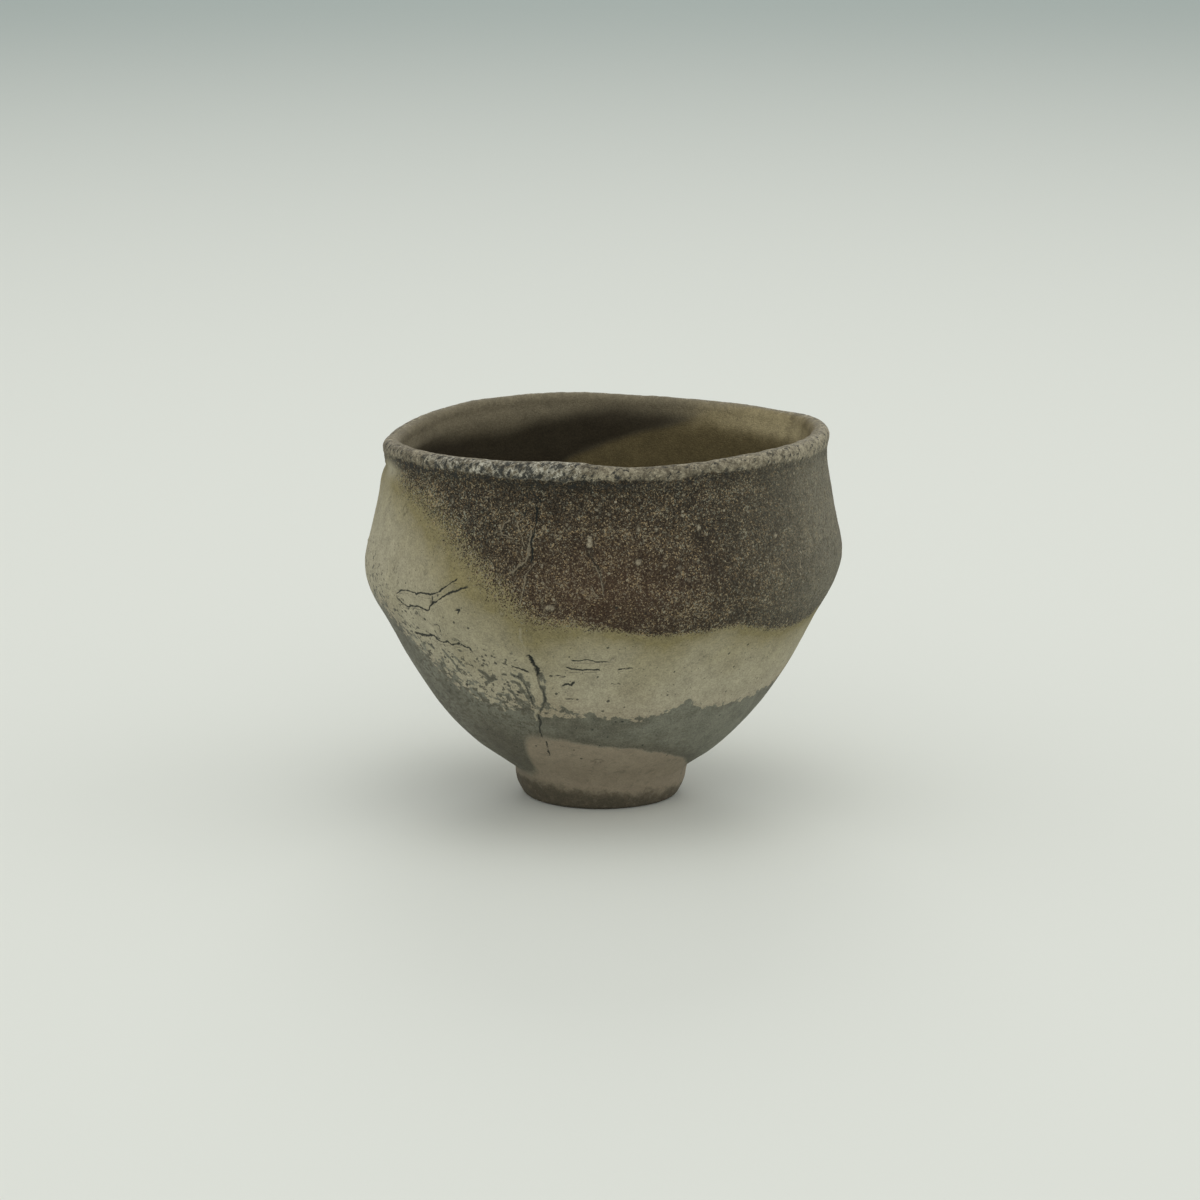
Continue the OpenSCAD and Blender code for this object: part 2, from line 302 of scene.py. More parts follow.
@dataclass
class CupForm:
    """The cup's driving sizes in millimetres, and the outline that they give at every angle."""

    cup_height: float = 54.5
    rim_wave: float = 1.4
    lip_step: float = 0.25
    lip_step_angle: float = 266.0
    shoulder_width: float = 70.8
    shoulder_height: float = 34.5
    shoulder_tilt: float = 0.95
    wall_thick: float = 3.7
    flare_width: float = 43.3
    flare_height: float = 9.1
    lean: float = 0.8
    lean_start: float = 12.0
    oval: float = 0.25
    oval_angle: float = 35.0
    lip_width: float = 65.2
    lip_thick: float = 2.8
    lip_round: float = 1.5
    neck_width: float = 64.6
    neck_thick: float = 3.0
    neck_drop: float = 3.9
    neck_tilt: float = 0.75
    neck_groove: float = 0.5
    seam_angle: float = 253.0
    seam_lap: float = 0.3
    base_thick: float = 3.3
    well_width: float = 17.0
    base_arch: float = 0.7
    foot_width: float = 22.7
    waist_width: float = 25.3
    foot_height: float = 4.9
    recess_width: float = 15.0
    recess_top_width: float = 14.0
    foot_round: float = 0.7
    flare_out_share: float = 0.54
    shoulder_low_share: float = 0.15
    shoulder_high_share: float = 0.2
    neck_low_share: float = 0.1
    neck_high_share: float = 0.5
    inner_shoulder_share: float = 0.22
    base_joint_share: float = 0.2
    hollow_low: float = 0.1
    hollow_high: float = 0.06
    lip_fade_angle: float = 22.0
    seam_fade_angle: float = 34.0
    lap_angle: float = 0.7
    lip_lap_angle: float = 3.0
    wave_shares: tuple[float, ...] = (
        0.45, 0.2, -0.15, -0.1, 0.1, 0.5, 0.45, 0.05, -0.65,
        -0.8, -0.35, -0.15, 0.1, 0.3, -0.1, 0.15, 0.33, 0.45,
    )  # fmt: skip
    columns: int = 720
    front_angle: float = 262.0
    front_spread: float = 52.0
    front_extra: float = 1.6
    smear_low: float = 1.4
    smear_high: float = 7.8
    smear_reach: float = 0.42
    smear_angle: float = 267.0
    smear_full: float = 38.0
    smear_end: float = 82.0
    # Height of one row in each run, in the runs' order
    row_sizes: tuple[float, ...] = (0.6, 0.33, 0.3, 0.33, 0.26, 0.26, 0.42, 0.85, 0.8)
    fewest_rows: int = 4
    lip_top_share: float = 0.12
    angle_steps: int = 3600
    flare_steps: int = 100
    hollow_steps: int = 12

    def angles(self) -> Array:
        """Places the columns closer together at the photographed front.

        Returns:
            Angles of the columns in degrees.
        """
        fine = np.linspace(0.0, FULL_TURN, self.angle_steps + 1)
        density = 1.0 + self.front_extra * hill(turn(self.front_angle, fine), self.front_spread)
        steps = (density[1:] + density[:-1]) / 2.0
        filled = np.concatenate([[0.0], np.cumsum(steps)])
        wanted = np.linspace(0.0, filled[-1], self.columns, endpoint=False)
        return np.interp(wanted, filled, fine)

    def wave_at(self, angle: Array) -> Array:
        """Follows a smooth curve through the chosen shares of the lip's wave.

        Args:
            angle: Angles in degrees.

        Returns:
            Share of the wave at each angle.
        """
        shares = np.array(self.wave_shares)
        place = (angle % FULL_TURN) / FULL_TURN * len(shares)
        k = np.floor(place).astype(int)
        t = place - k
        a, b, c, d = (shares[(k + step) % len(shares)] for step in (-1, 0, 1, 2))
        return b + (c - a + (2 * a - 5 * b + 4 * c - d + (3 * (b - c) + d - a) * t) * t) * t / 2.0

    def rim_height(self, angle: Array) -> Array:
        """Height of the top of the lip, with its wave and its lapped step.

        Args:
            angle: Angles in degrees.

        Returns:
            The height at each angle.
        """
        turned = turn(self.lip_step_angle, angle)
        fading = np.square(np.clip(1.0 - np.abs(turned) / self.lip_fade_angle, 0.0, None))
        return (
            self.cup_height
            + self.rim_wave * self.wave_at(angle)
            - np.tanh(turned / self.lip_lap_angle) * self.lip_step * fading
        )

    def neck_height(self, angle: Array) -> Array:
        """Height of the neck at each angle."""
        return self.rim_height(angle) - self.neck_drop - self.neck_tilt * np.cos(np.radians(angle))

    def middle_at(self, height: Array) -> Array:
        """Sideways place of the cup's middle at each height."""
        rise = np.clip(height - self.lean_start, 0.0, None) / (self.cup_height - self.lean_start)
        return self.lean * rise - self.lean / 2.0

    def placed(self, outline: Array, angle: Array) -> Array:
        """Points in space of every column's outline.

        Args:
            outline: Radius and height as columns, rows and 2.
            angle: Angle of each column in degrees.

        Returns:
            Points in millimetres, as columns, rows and 3.
        """
        radius, height = outline[..., 0], outline[..., 1]
        lap = turn(self.seam_angle, angle)
        fading = np.square(np.clip(1.0 - np.abs(lap) / self.seam_fade_angle, 0.0, None))
        shape = self.oval * np.cos(2.0 * np.radians(angle - self.oval_angle))
        shape = shape + self.seam_lap * fading * ease(lap, self.lap_angle, -self.lap_angle)
        raised = np.clip((height - self.foot_height) / (self.shoulder_height - self.foot_height), 0, 1)
        radius = radius * (1.0 + shape[:, None] * raised / (self.shoulder_width / 2.0))
        turned = np.radians(angle)[:, None]
        x = self.middle_at(height) + radius * np.cos(turned)
        return np.stack([x, radius * np.sin(turned), height], axis=-1)

    def corners(self, angle: Array) -> dict[str, Array]:
        """Corners of the outline at each angle, as columns of radius and height.

        Args:
            angle: Angle of each column in degrees.

        Returns:
            Each corner by name.
        """

        def flat(radius: float, height: float) -> Array:
            """Corner that is the same all round."""
            return np.tile([radius, height], (len(angle), 1))

        rim = self.rim_height(angle)
        lift = self.shoulder_tilt * np.cos(np.radians(angle))
        c = {
            "arch_middle": flat(0.0, self.foot_height + self.base_arch),
            "arch_corner": flat(HALF * self.recess_top_width / 2.0, self.foot_height + self.base_arch),
            "recess_top": flat(self.recess_top_width / 2.0, self.foot_height),
            "seat_in": flat(self.recess_width / 2.0, 0.0),
            "seat_out": flat(self.foot_width / 2.0, 0.0),
            "foot_side": flat(self.waist_width / 2.0, self.foot_height / 2.0),
            "waist": flat(self.waist_width / 2.0, self.foot_height),
            "flare": flat(self.flare_width / 2.0, self.flare_height),
            "shoulder": flat(self.shoulder_width / 2.0, self.shoulder_height),
            "neck": flat(self.neck_width / 2.0, 0.0),
            "lip": flat(self.lip_width / 2.0, 0.0),
        }
        c["shoulder"][:, 1] += lift
        c["neck"][:, 1] = self.neck_height(angle)
        c["lip"][:, 1] = rim - self.lip_round
        c["lip_in"] = c["lip"] - [self.lip_thick, 0.0]
        base_top = self.foot_height + self.base_arch + self.base_thick
        c["well_middle"] = flat(0.0, base_top)
        c["well_edge"] = flat(self.well_width / 2.0, base_top)
        c["flare_in"] = inner_corner(c["waist"], c["flare"], c["shoulder"], self.wall_thick)
        c["shoulder_in"] = inner_corner(c["flare"], c["shoulder"], c["neck"], self.wall_thick)
        c["neck_in"] = inner_corner(c["shoulder"], c["neck"], c["lip"], self.neck_thick)
        return c

    def stretches(self, angle: Array) -> dict[Run, Array]:
        """Fine outline of every run at each angle.

        Args:
            angle: Angle of each column in degrees.

        Returns:
            For each run, points as columns, places, and radius and height.
        """
        c = self.corners(angle)
        flare = bend(c["waist"], c["flare"], c["shoulder"], 1.0, self.flare_out_share, self.flare_steps)
        shoulder = bend(
            c["flare"], c["shoulder"], c["neck"], self.shoulder_low_share, self.shoulder_high_share
        )
        neck = bend(c["shoulder"], c["neck"], c["lip"], self.neck_low_share, self.neck_high_share)
        groove = self.neck_groove * (1.0 - np.cos(np.radians(angle))) / 2.0
        dip = np.sin(np.linspace(0.0, math.pi, neck.shape[1])) ** 2
        neck[..., 0] -= groove[:, None] * dip
        well = bend(c["well_middle"], c["well_edge"], c["flare_in"], 1.0, 0.5)
        flare_in = bend(c["well_edge"], c["flare_in"], c["shoulder_in"], 0.5, self.flare_out_share)
        share = self.inner_shoulder_share
        shoulder_in = bend(c["flare_in"], c["shoulder_in"], c["neck_in"], share, share)
        neck_in = bend(
            c["shoulder_in"], c["neck_in"], c["lip_in"], self.neck_low_share, self.neck_high_share
        )
        up = np.array([0.0, self.lip_round])
        top = between(c["lip"], c["lip_in"], 0.5) + up
        lip_out = bend(c["lip"], c["lip"] + up, top, 1.0, 1.0)
        lip_in = bend(top, c["lip_in"] + up, c["lip_in"], 1.0, 1.0)

        seat_share = self.foot_round / (self.foot_width - self.recess_width) * 2.0
        side_share = self.foot_round / math.dist(c["foot_side"][0], c["seat_out"][0])
        recess_share = self.foot_round / math.dist(c["recess_top"][0], c["seat_in"][0])
        foot_in = bend(c["recess_top"], c["seat_in"], c["seat_out"], recess_share, seat_share)
        foot_out = bend(c["seat_in"], c["seat_out"], c["foot_side"], seat_share, side_share)
        foot_turn = bend(c["seat_out"], c["foot_side"], c["waist"], 0.5, 0.5)

        def hollow(low: Array, high: Array, depth: float) -> Array:
            """Stretch between two bends, drawn in a little by the maker's fingers.

            Args:
                low: The stretch's start at each angle.
                high: Its end.
                depth: How far it is drawn in.

            Returns:
                Points between its ends.
            """
            t = np.linspace(0.0, 1.0, self.hollow_steps)[None, 1:-1, None]
            line = between(low[:, None, :], high[:, None, :], t)
            line[..., 0] -= depth * np.square(np.sin(math.pi * t[..., 0]))
            return line

        def rising(flare: Array, shoulder: Array, neck: Array) -> tuple[list[Array], ...]:
            """Joins the three bends of one side of the wall.

            Args:
                flare: The bend above the foot.
                shoulder: The bend at the shoulder.
                neck: The bend below the lip.

            Returns:
                Stretches of the lower strap, of the upper strap and of the way into the lip.
            """
            lower = hollow(flare[:, -1], shoulder[:, 0], self.hollow_low)
            upper = hollow(shoulder[:, -1], neck[:, 0], self.hollow_high)
            joint, top = shoulder.shape[1] // 2, neck.shape[1] // 2
            low_strap = [flare, lower, shoulder[:, : joint + 1]]
            return low_strap, [shoulder[:, joint:], upper, neck[:, : top + 1]], [neck[:, top:]]

        def back(lines: list[Array]) -> list[Array]:
            """Same stretches, walked the other way."""
            return [line[:, ::-1] for line in reversed(lines)]

        joint = round(self.base_joint_share * (flare.shape[1] - 1))
        lower, upper, into_lip = rising(flare[:, joint:], shoulder, neck)
        lower_in, upper_in, from_lip = rising(flare_in, shoulder_in, neck_in)
        parts: dict[Run, list[Array]] = {
            Run.UNDER_BASE: [bend(c["arch_middle"], c["arch_corner"], c["recess_top"], 1.0, 1.0)],
            Run.FOOT: [c["recess_top"][:, None], foot_in, foot_out, foot_turn, c["waist"][:, None]],
            Run.BASE_SIDE: [flare[:, : joint + 1]],
            Run.LOWER_OUT: lower,
            Run.UPPER_OUT: upper,
            Run.LIP: [*into_lip, lip_out, lip_in, *back(from_lip)],
            Run.UPPER_IN: back(upper_in),
            Run.LOWER_IN: back(lower_in),
            Run.WELL: back([well]),
        }
        return {run: np.concatenate(lines, axis=1) for run, lines in parts.items()}


class Skin:
    """Fine grid of the whole cup's skin, with a value of each mark at every point."""

    def __init__(self, form: CupForm) -> None:
        """Lays out the grid.

        Args:
            form: The cup's form.
        """
        self.form = form
        self.angle = form.angles()
        self.spans: dict[Run, tuple[int, int]] = {}
        outlines = form.stretches(self.angle)
        rows: list[Array] = []
        count = 0
        for (run, line), row_size in zip(outlines.items(), form.row_sizes):
            length = np.linalg.norm(np.diff(line, axis=1), axis=2).sum(axis=1).mean()
            even = evened(line, max(form.fewest_rows, round(length / row_size)) + 1)
            first = max(0, count - 1)
            self.spans[run] = (first, first + even.shape[1] - 1)
            rows.append(even if count == 0 else even[:, 1:])
            count += rows[-1].shape[1]
        self.outline = np.concatenate(rows, axis=1)
        self.smeared = self.fill_waist()
        self.points = form.placed(self.outline, self.angle)
        self.relief = np.zeros(self.points.shape[:-1])
        self.marks: dict[str, Array] = {}

    def fill_waist(self) -> Array:
        """Rounds the corner between wall and foot at the front, where clay was smeared over it.

        Returns:
            Share of the smear at each column.
        """
        form = self.form
        mean = self.outline.mean(axis=0)
        last = self.spans[Run.LIP][0]
        row = np.arange(self.outline.shape[1])
        side = (mean[:, 0] > form.recess_width / 2.0 + form.foot_round) & (row < last)
        rows = row[side & (mean[:, 1] >= form.smear_low) & (mean[:, 1] <= form.smear_high)]
        old = self.outline[:, rows]
        low, high = old[:, :1], old[:, -1:]
        reach = form.smear_reach * np.linalg.norm(high - low, axis=2, keepdims=True)
        first_way, last_way = old[:, 1:2] - low, high - old[:, -2:-1]
        low_guide = low + reach * first_way / np.linalg.norm(first_way, axis=2, keepdims=True)
        high_guide = high - reach * last_way / np.linalg.norm(last_way, axis=2, keepdims=True)
        steps = np.linalg.norm(np.diff(old, axis=1), axis=2).cumsum(axis=1)
        share = np.concatenate([np.zeros((len(old), 1)), steps / steps[:, -1:]], axis=1)[..., None]
        left = 1.0 - share
        curve = left**3 * low + share**3 * high
        curve += 3.0 * left * share * (left * low_guide + share * high_guide)
        away = np.abs(turn(form.smear_angle, self.angle))
        front = ease(away, form.smear_end, form.smear_full)[:, None, None]
        self.outline[:, rows] = between(old, curve, front)
        return front[:, 0, 0]

    @property
    def height(self) -> Array:
        """Height of every point of the undisturbed skin."""
        return self.outline[..., 1]

    def facing(self, *faces: Face) -> Array:
        """Marks the rows that look a given way.

        Args:
            *faces: The ways.

        Returns:
            1 on those rows and 0 elsewhere.
        """
        mask = np.zeros(self.outline.shape[1])
        for run, (first, last) in self.spans.items():
            if RUN_FACES[run] in faces:
                mask[first : last + 1] = 1.0
        return mask[None, :]

    def inner_share(self) -> Array:
        """Way over the lip, softly changing on the lip's top.

        Returns:
            0 outside and 1 inside, for every row.
        """
        first, last = self.spans[Run.LIP]
        middle, soft = (first + last) / 2.0, (last - first) * self.form.lip_top_share
        return ease(np.arange(self.outline.shape[1]), middle - soft, middle + soft)[None, :]

    def normals(self) -> Array:
        """Unit normals of the skin.

        Returns:
            The normal at every point.
        """
        wrapped = np.concatenate([self.points[-1:], self.points, self.points[:1]])
        round_way = wrapped[2:] - wrapped[:-2]
        along = np.gradient(self.points, axis=1)
        normal = np.cross(round_way, along)
        length = np.linalg.norm(normal, axis=-1, keepdims=True)
        normal = normal / np.maximum(length, TINY)
        normal[:, 0] = (0.0, 0.0, -1.0)
        normal[:, -1] = (0.0, 0.0, 1.0)
        return normal

    def push(self) -> None:
        """Moves the skin along its normals by its relief."""
        self.points = self.points + self.normals() * self.relief[..., None]

    def near(self, places: Array, reach: float) -> tuple[Array, Array]:
        """Finds the outer skin within reach of a box of points.

        Args:
            places: Points whose box is used.
            reach: How far past the box counts, in millimetres.

        Returns:
            Index arrays of columns and rows.
        """
        low, high = places.min(axis=0) - reach, places.max(axis=0) + reach
        inside = np.all((self.points >= low) & (self.points <= high), axis=-1)
        return np.nonzero(inside & (self.facing(Face.OUTSIDE) > 0))

    def on_outside(self, places: Table) -> Array:
        """Points in space of places on the outer skin.

        Args:
            places: Angle in degrees and height in millimetres of each place.

        Returns:
            One row of three coordinates for each place.
        """
        first, last = self.spans[Run.FOOT][0], self.spans[Run.LIP][1]
        found = []
        for angle, height in places:
            column = int(np.argmin(np.abs(turn(self.angle, angle))))
            heights = self.height[column, first : last + 1]
            top = int(np.argmax(heights))
            low = int(np.argmin(heights[:top]))
            row = low + int(np.argmin(np.abs(heights[low : top + 1] - height)))
            found.append(self.points[column, first + row])
        return np.array(found)


def distance_to(points: Array, line: Array) -> tuple[Array, Array, Array]:
    """Distance of points on the skin from a line drawn on it.

    Args:
        points: Points with coordinates last.
        line: The line's points.

    Returns:
        Distance, negative on one side of the line, the length along the line up to the nearest spot, and
        how far each point lies past the line's ends, all in millimetres.
    """
    nearest = np.full(points.shape[:-1], np.inf)
    side = np.ones(points.shape[:-1])
    along = np.zeros(points.shape[:-1])
    past = np.zeros(points.shape[:-1])
    outward = points * [1.0, 1.0, 0.0]
    walked = 0.0
    for number, (start, end) in enumerate(zip(line[:-1], line[1:])):
        way = end - start
        length = max(float(np.linalg.norm(way)), TINY)
        place = ((points - start) @ way) / length**2
        share = np.clip(place, 0.0, 1.0)
        distance = np.linalg.norm(points - start - share[..., None] * way, axis=-1)
        closer = distance < nearest
        over = np.where(number == 0, -place, 0.0).clip(0.0)
        over = np.maximum(over, np.where(number == len(line) - 2, place - 1.0, 0.0))
        turned = (np.cross(way, points - start) * outward).sum(axis=-1)
        nearest = np.where(closer, distance, nearest)
        side = np.where(closer, np.where(turned < 0.0, -1.0, 1.0), side)
        along = np.where(closer, walked + share * length, along)
        past = np.where(closer, over * length, past)
        walked += length
    return nearest * side, along, past


@dataclass(frozen=True)
class Crack:
    """A crack, or a ridge if its depth is below zero, along places of angle and height on the outside.

    Lines of one layer must not come within a millimetre and a half of one another.
    """

    layer: int
    width: float
    depth: float
    gaps: float
    places: Table
    ink: float = 1.0


@dataclass(frozen=True)
class Stone:
    """A pale stone in the outer skin: its place, half sizes, how far it stands out and how chalky it is."""

    angle: float
    height: float
    half_width: float
    half_height: float
    proud: float = 0.12
    chalk: float = 0.85


CRACK_LAYERS = (0, 1, 2)
RIDGE_LAYERS = (3, 4)
CRACKS: tuple[Crack, ...] = (
    # The closing seam in the upper strap and in the lower strap
    Crack(0, 0.22, 0.3, 0.05, ((253.1, 48.8), (253.4, 47.6), (253.1, 46.5), (252.6, 44.6), (252.3, 43.9),
                               (252.6, 42.8), (252.9, 41.3))),
    Crack(0, 0.36, 0.3, 0.0, ((251, 27.2), (251.6, 26.4), (252.5, 25.3), (252.5, 24)), 1.0),
    Crack(0, 0.2, 0.25, 0.1, ((252.5, 24), (252.4, 22.9), (252.9, 21.5), (252.9, 19.8)), 0.6),
    Crack(0, 0.17, 0.2, 0.2, ((252.9, 19.8), (251.5, 18.6), (249.8, 17.2)), 0.45),
    Crack(0, 0.2, 0.25, 0.05, ((249.8, 17.2), (249.7, 16.3), (248.5, 14.6), (248.2, 13.4)), 0.8),
    Crack(1, 0.13, 0.12, 0.3, ((250.4, 51), (250.5, 48.7), (250.2, 47.3))),
    Crack(2, 0.13, 0.12, 0.3, ((250.6, 51.2), (252.4, 50.3), (253.9, 49.6))),
    Crack(1, 0.16, 0.1, 0.3, ((249.3, 12.4), (248.9, 11.2), (248.1, 9.9))),
    # A second crack low in the dark clay
    Crack(0, 0.15, 0.16, 0.25, ((266.2, 42.5), (268.1, 41), (269, 39.8), (269.4, 38.6)), 0.6),
    # Two long shrinkage cracks at the left of the shoulder, with smaller ones below
    Crack(0, 0.17, 0.16, 0.12, ((212.2, 33.9), (214.1, 34.5), (215.9, 34.7), (221.2, 34.7), (225.6, 35),
                                (228.2, 35.8), (231, 36.8), (233.5, 37.9))),
    Crack(1, 0.20, 0.2, 0.08, ((213, 32.7), (216.2, 32.4), (219.2, 32.6), (223.9, 32.5), (225.2, 33),
                               (226.4, 33.9), (230.9, 35.4), (234.9, 36.7), (236.8, 37.1))),
    Crack(2, 0.13, 0.1, 0.2, ((226.5, 34.8), (226.4, 33.9))),
    Crack(2, 0.31, 0.16, 0.12, ((214, 28), (217.1, 28.1), (220.8, 28.5), (222.4, 28.3), (223.3, 27.8),
                                (224.6, 27.7), (226.9, 27.8), (227.8, 27.3), (230.9, 27.8))),
    Crack(2, 0.26, 0.14, 0.15, ((231.7, 27.5), (233.6, 27.3), (234.2, 26.8))),
    Crack(2, 0.13, 0.1, 0.35, ((219.6, 31.8), (220.7, 31.3), (221.9, 30.9))),
    Crack(0, 0.13, 0.1, 0.3, ((224.9, 30.5), (226, 30.3), (226.2, 29.6))),
    Crack(2, 0.16, 0.12, 0.1, ((233.5, 33.6), (234.5, 33.5), (233.8, 32.9))),
    # Curved cracks beside the lower seam
    Crack(2, 0.23, 0.12, 0.1, ((245.6, 25.6), (247, 25.2), (248.1, 24.9), (249.5, 24.6))),
    Crack(1, 0.2, 0.12, 0.25, ((246.7, 23.3), (248, 22.9), (248.4, 21.8), (248.7, 20.4), (248.4, 19)),
          0.55),
    # Short level hairlines
    Crack(1, 0.14, 0.1, 0.35, ((262.2, 26.7), (266, 26.9), (269.4, 26.7), (272.5, 26.5))),
    Crack(0, 0.16, 0.1, 0.1, ((260.5, 25.5), (262.9, 25.3), (264.9, 25.3), (269, 25.3))),
    Crack(2, 0.14, 0.1, 0.2, ((255.7, 24.2), (257.8, 24.3), (259.9, 24.1))),
    Crack(1, 0.17, 0.1, 0.1, ((259, 22.6), (260.6, 22.9), (261.5, 22.7), (262.2, 23.2))),
    Crack(0, 0.13, 0.08, 0.3, ((272.6, 23.1), (274.6, 23.1))),
    Crack(0, 0.13, 0.08, 0.2, ((274.2, 25.5), (277.8, 25.5))),
    Crack(2, 0.13, 0.08, 0.3, ((259.4, 20.4), (261.4, 20.3))),
    # Unseen sides: a few more of the same kind
    Crack(0, 0.17, 0.14, 0.2, ((24, 30.6), (29, 29.4), (33, 29.7), (39, 28.5))),
    Crack(0, 0.20, 0.2, 0.1, ((96, 42), (98.5, 38.2), (98, 35.4), (100.5, 32.8), (101, 30.5))),
    Crack(0, 0.16, 0.1, 0.3, ((118, 24.6), (124, 23.9), (131, 24.4))),
    Crack(0, 0.17, 0.14, 0.2, ((158, 31.5), (163, 30.4), (167, 30.9), (172, 29.2))),
)  # fmt: skip

# Larger dark pits at chosen places
DOTS: Table = (
    (251.2, 27), (251.6, 26.5), (238.3, 26.5), (240.2, 26.6), (237.1, 25.8), (236.2, 24.7), (240.8, 25.4),
    (245.3, 21.2), (256.7, 21.3), (232, 31.4), (235.6, 30.8), (221.7, 30.9), (225.8, 25.4), (222.5, 25.1),
    (271.7, 20.2),
)  # fmt: skip

# Ridges of clay squeezed out at the seam and beside the cracks
RIDGES: tuple[Crack, ...] = (
    Crack(3, 0.13, -0.16, 0.1, ((246.5, 46.8), (245.3, 46.2), (244.5, 45.2), (245, 44.6), (247.7, 44.4))),
    Crack(4, 0.12, -0.16, 0.05, ((250.2, 47.2), (248.9, 46.6), (248.8, 46.1), (249.6, 45.3), (250.7, 43.5))),
    Crack(3, 0.22, -0.26, 0.0, ((252.4, 45.6), (252, 44.3), (251.8, 43.4), (251.9, 42.3), (251.4, 41.3),
                                (249.5, 40.4), (248.1, 39.6))),
    Crack(3, 0.12, -0.16, 0.0, ((268, 40.6), (268.9, 39.6), (269.3, 38.5), (269.9, 37.1))),
    Crack(4, 0.11, -0.12, 0.1, ((267.2, 38.2), (267.6, 37.4), (268.6, 36.8))),
    Crack(4, 0.14, -0.14, 0.25, ((253.4, 41), (251.6, 39.2), (251.4, 37.4), (250.6, 35.4))),
    Crack(4, 0.26, -0.16, 0.3, ((250.2, 31.6), (250, 30.2), (250.4, 28.8)), 0.5),
    Crack(3, 0.3, -0.16, 0.0, ((250.2, 18.4), (248.9, 17.4), (248.5, 16.4))),
    Crack(4, 0.12, -0.12, 0.25, ((323, 40.6), (324.4, 39.4), (323.6, 38.3), (325.2, 37.6))),
    Crack(3, 0.12, -0.12, 0.3, ((318.2, 38.9), (319.6, 37.6), (319, 36.4))),
    Crack(3, 0.16, -0.2, 0.1, ((97, 41), (99.4, 38.2), (99, 35.4))),
)  # fmt: skip

# Strokes of smoke that branch off above the grey band, left of the seam and at its foot
STROKES: tuple[Table, ...] = (
    ((245.9, 22.5), (247, 22), (247.8, 20.1)),
    ((247.5, 24.1), (248, 23.3)),
    ((241.6, 21.7), (243.1, 21), (244.2, 19.9), (247.8, 19)),
    ((234.1, 19.6), (239.8, 19.2), (244.7, 18)),
    ((237.9, 20.5), (240.1, 20.2), (242.1, 19.6)),
    ((234.4, 23.8), (236.2, 23.4), (237.1, 22.7), (239, 22.7)),
    ((239, 23.4), (237.6, 22.6), (235, 21.9)),
    ((257.3, 19.3), (258.8, 18.8), (257.4, 18.2)),
    ((253.2, 24.4), (254.1, 23.4), (253.4, 22.2)),
    ((223, 26), (225, 24.6), (226.5, 23)),
    ((252.9, 24), (253.1, 21.5), (252.9, 19.8), (251.4, 18.4)),
    ((244.7, 24), (246.7, 23.3), (248, 22.9), (248.4, 21.8), (248.9, 20.4), (249.2, 19)),
    ((249, 22.9), (249.4, 21.2), (250, 19.8)),
    ((244.6, 22.9), (246, 22.6), (247.4, 21.2)),
    ((215, 26.5), (217, 27), (219.4, 26)),
)

STONES: tuple[Stone, ...] = (
    Stone(266.2, 44.0, 0.36, 0.95, 0.2),
    Stone(257.6, 35.0, 0.85, 0.42, 0.18, 0.6),
    Stone(278.1, 45.8, 0.4, 0.4, 0.1, 0.55),
    Stone(278.1, 41.4, 0.5, 0.42, 0.12, 0.6),
    Stone(293.3, 45.8, 0.3, 0.42, 0.16),
    Stone(316.3, 43.1, 0.36, 0.36, 0.16),
    Stone(305.5, 43.6, 0.24, 0.24, 0.1),
    Stone(283.5, 43.0, 0.26, 0.26, 0.1, 0.6),
    Stone(289.6, 50.2, 0.26, 0.26, 0.1, 0.6),
    Stone(310.5, 42.0, 0.24, 0.24, 0.1, 0.6),
    Stone(284.3, 40.6, 0.26, 0.26, 0.1, 0.6),
    Stone(282.5, 45.8, 0.3, 0.3, 0.1, 0.5),
    Stone(272.7, 26.9, 0.2, 0.2, 0.08, 1.0),
    Stone(268.9, 9.3, 0.5, 0.3, -0.2, 0.5),
)


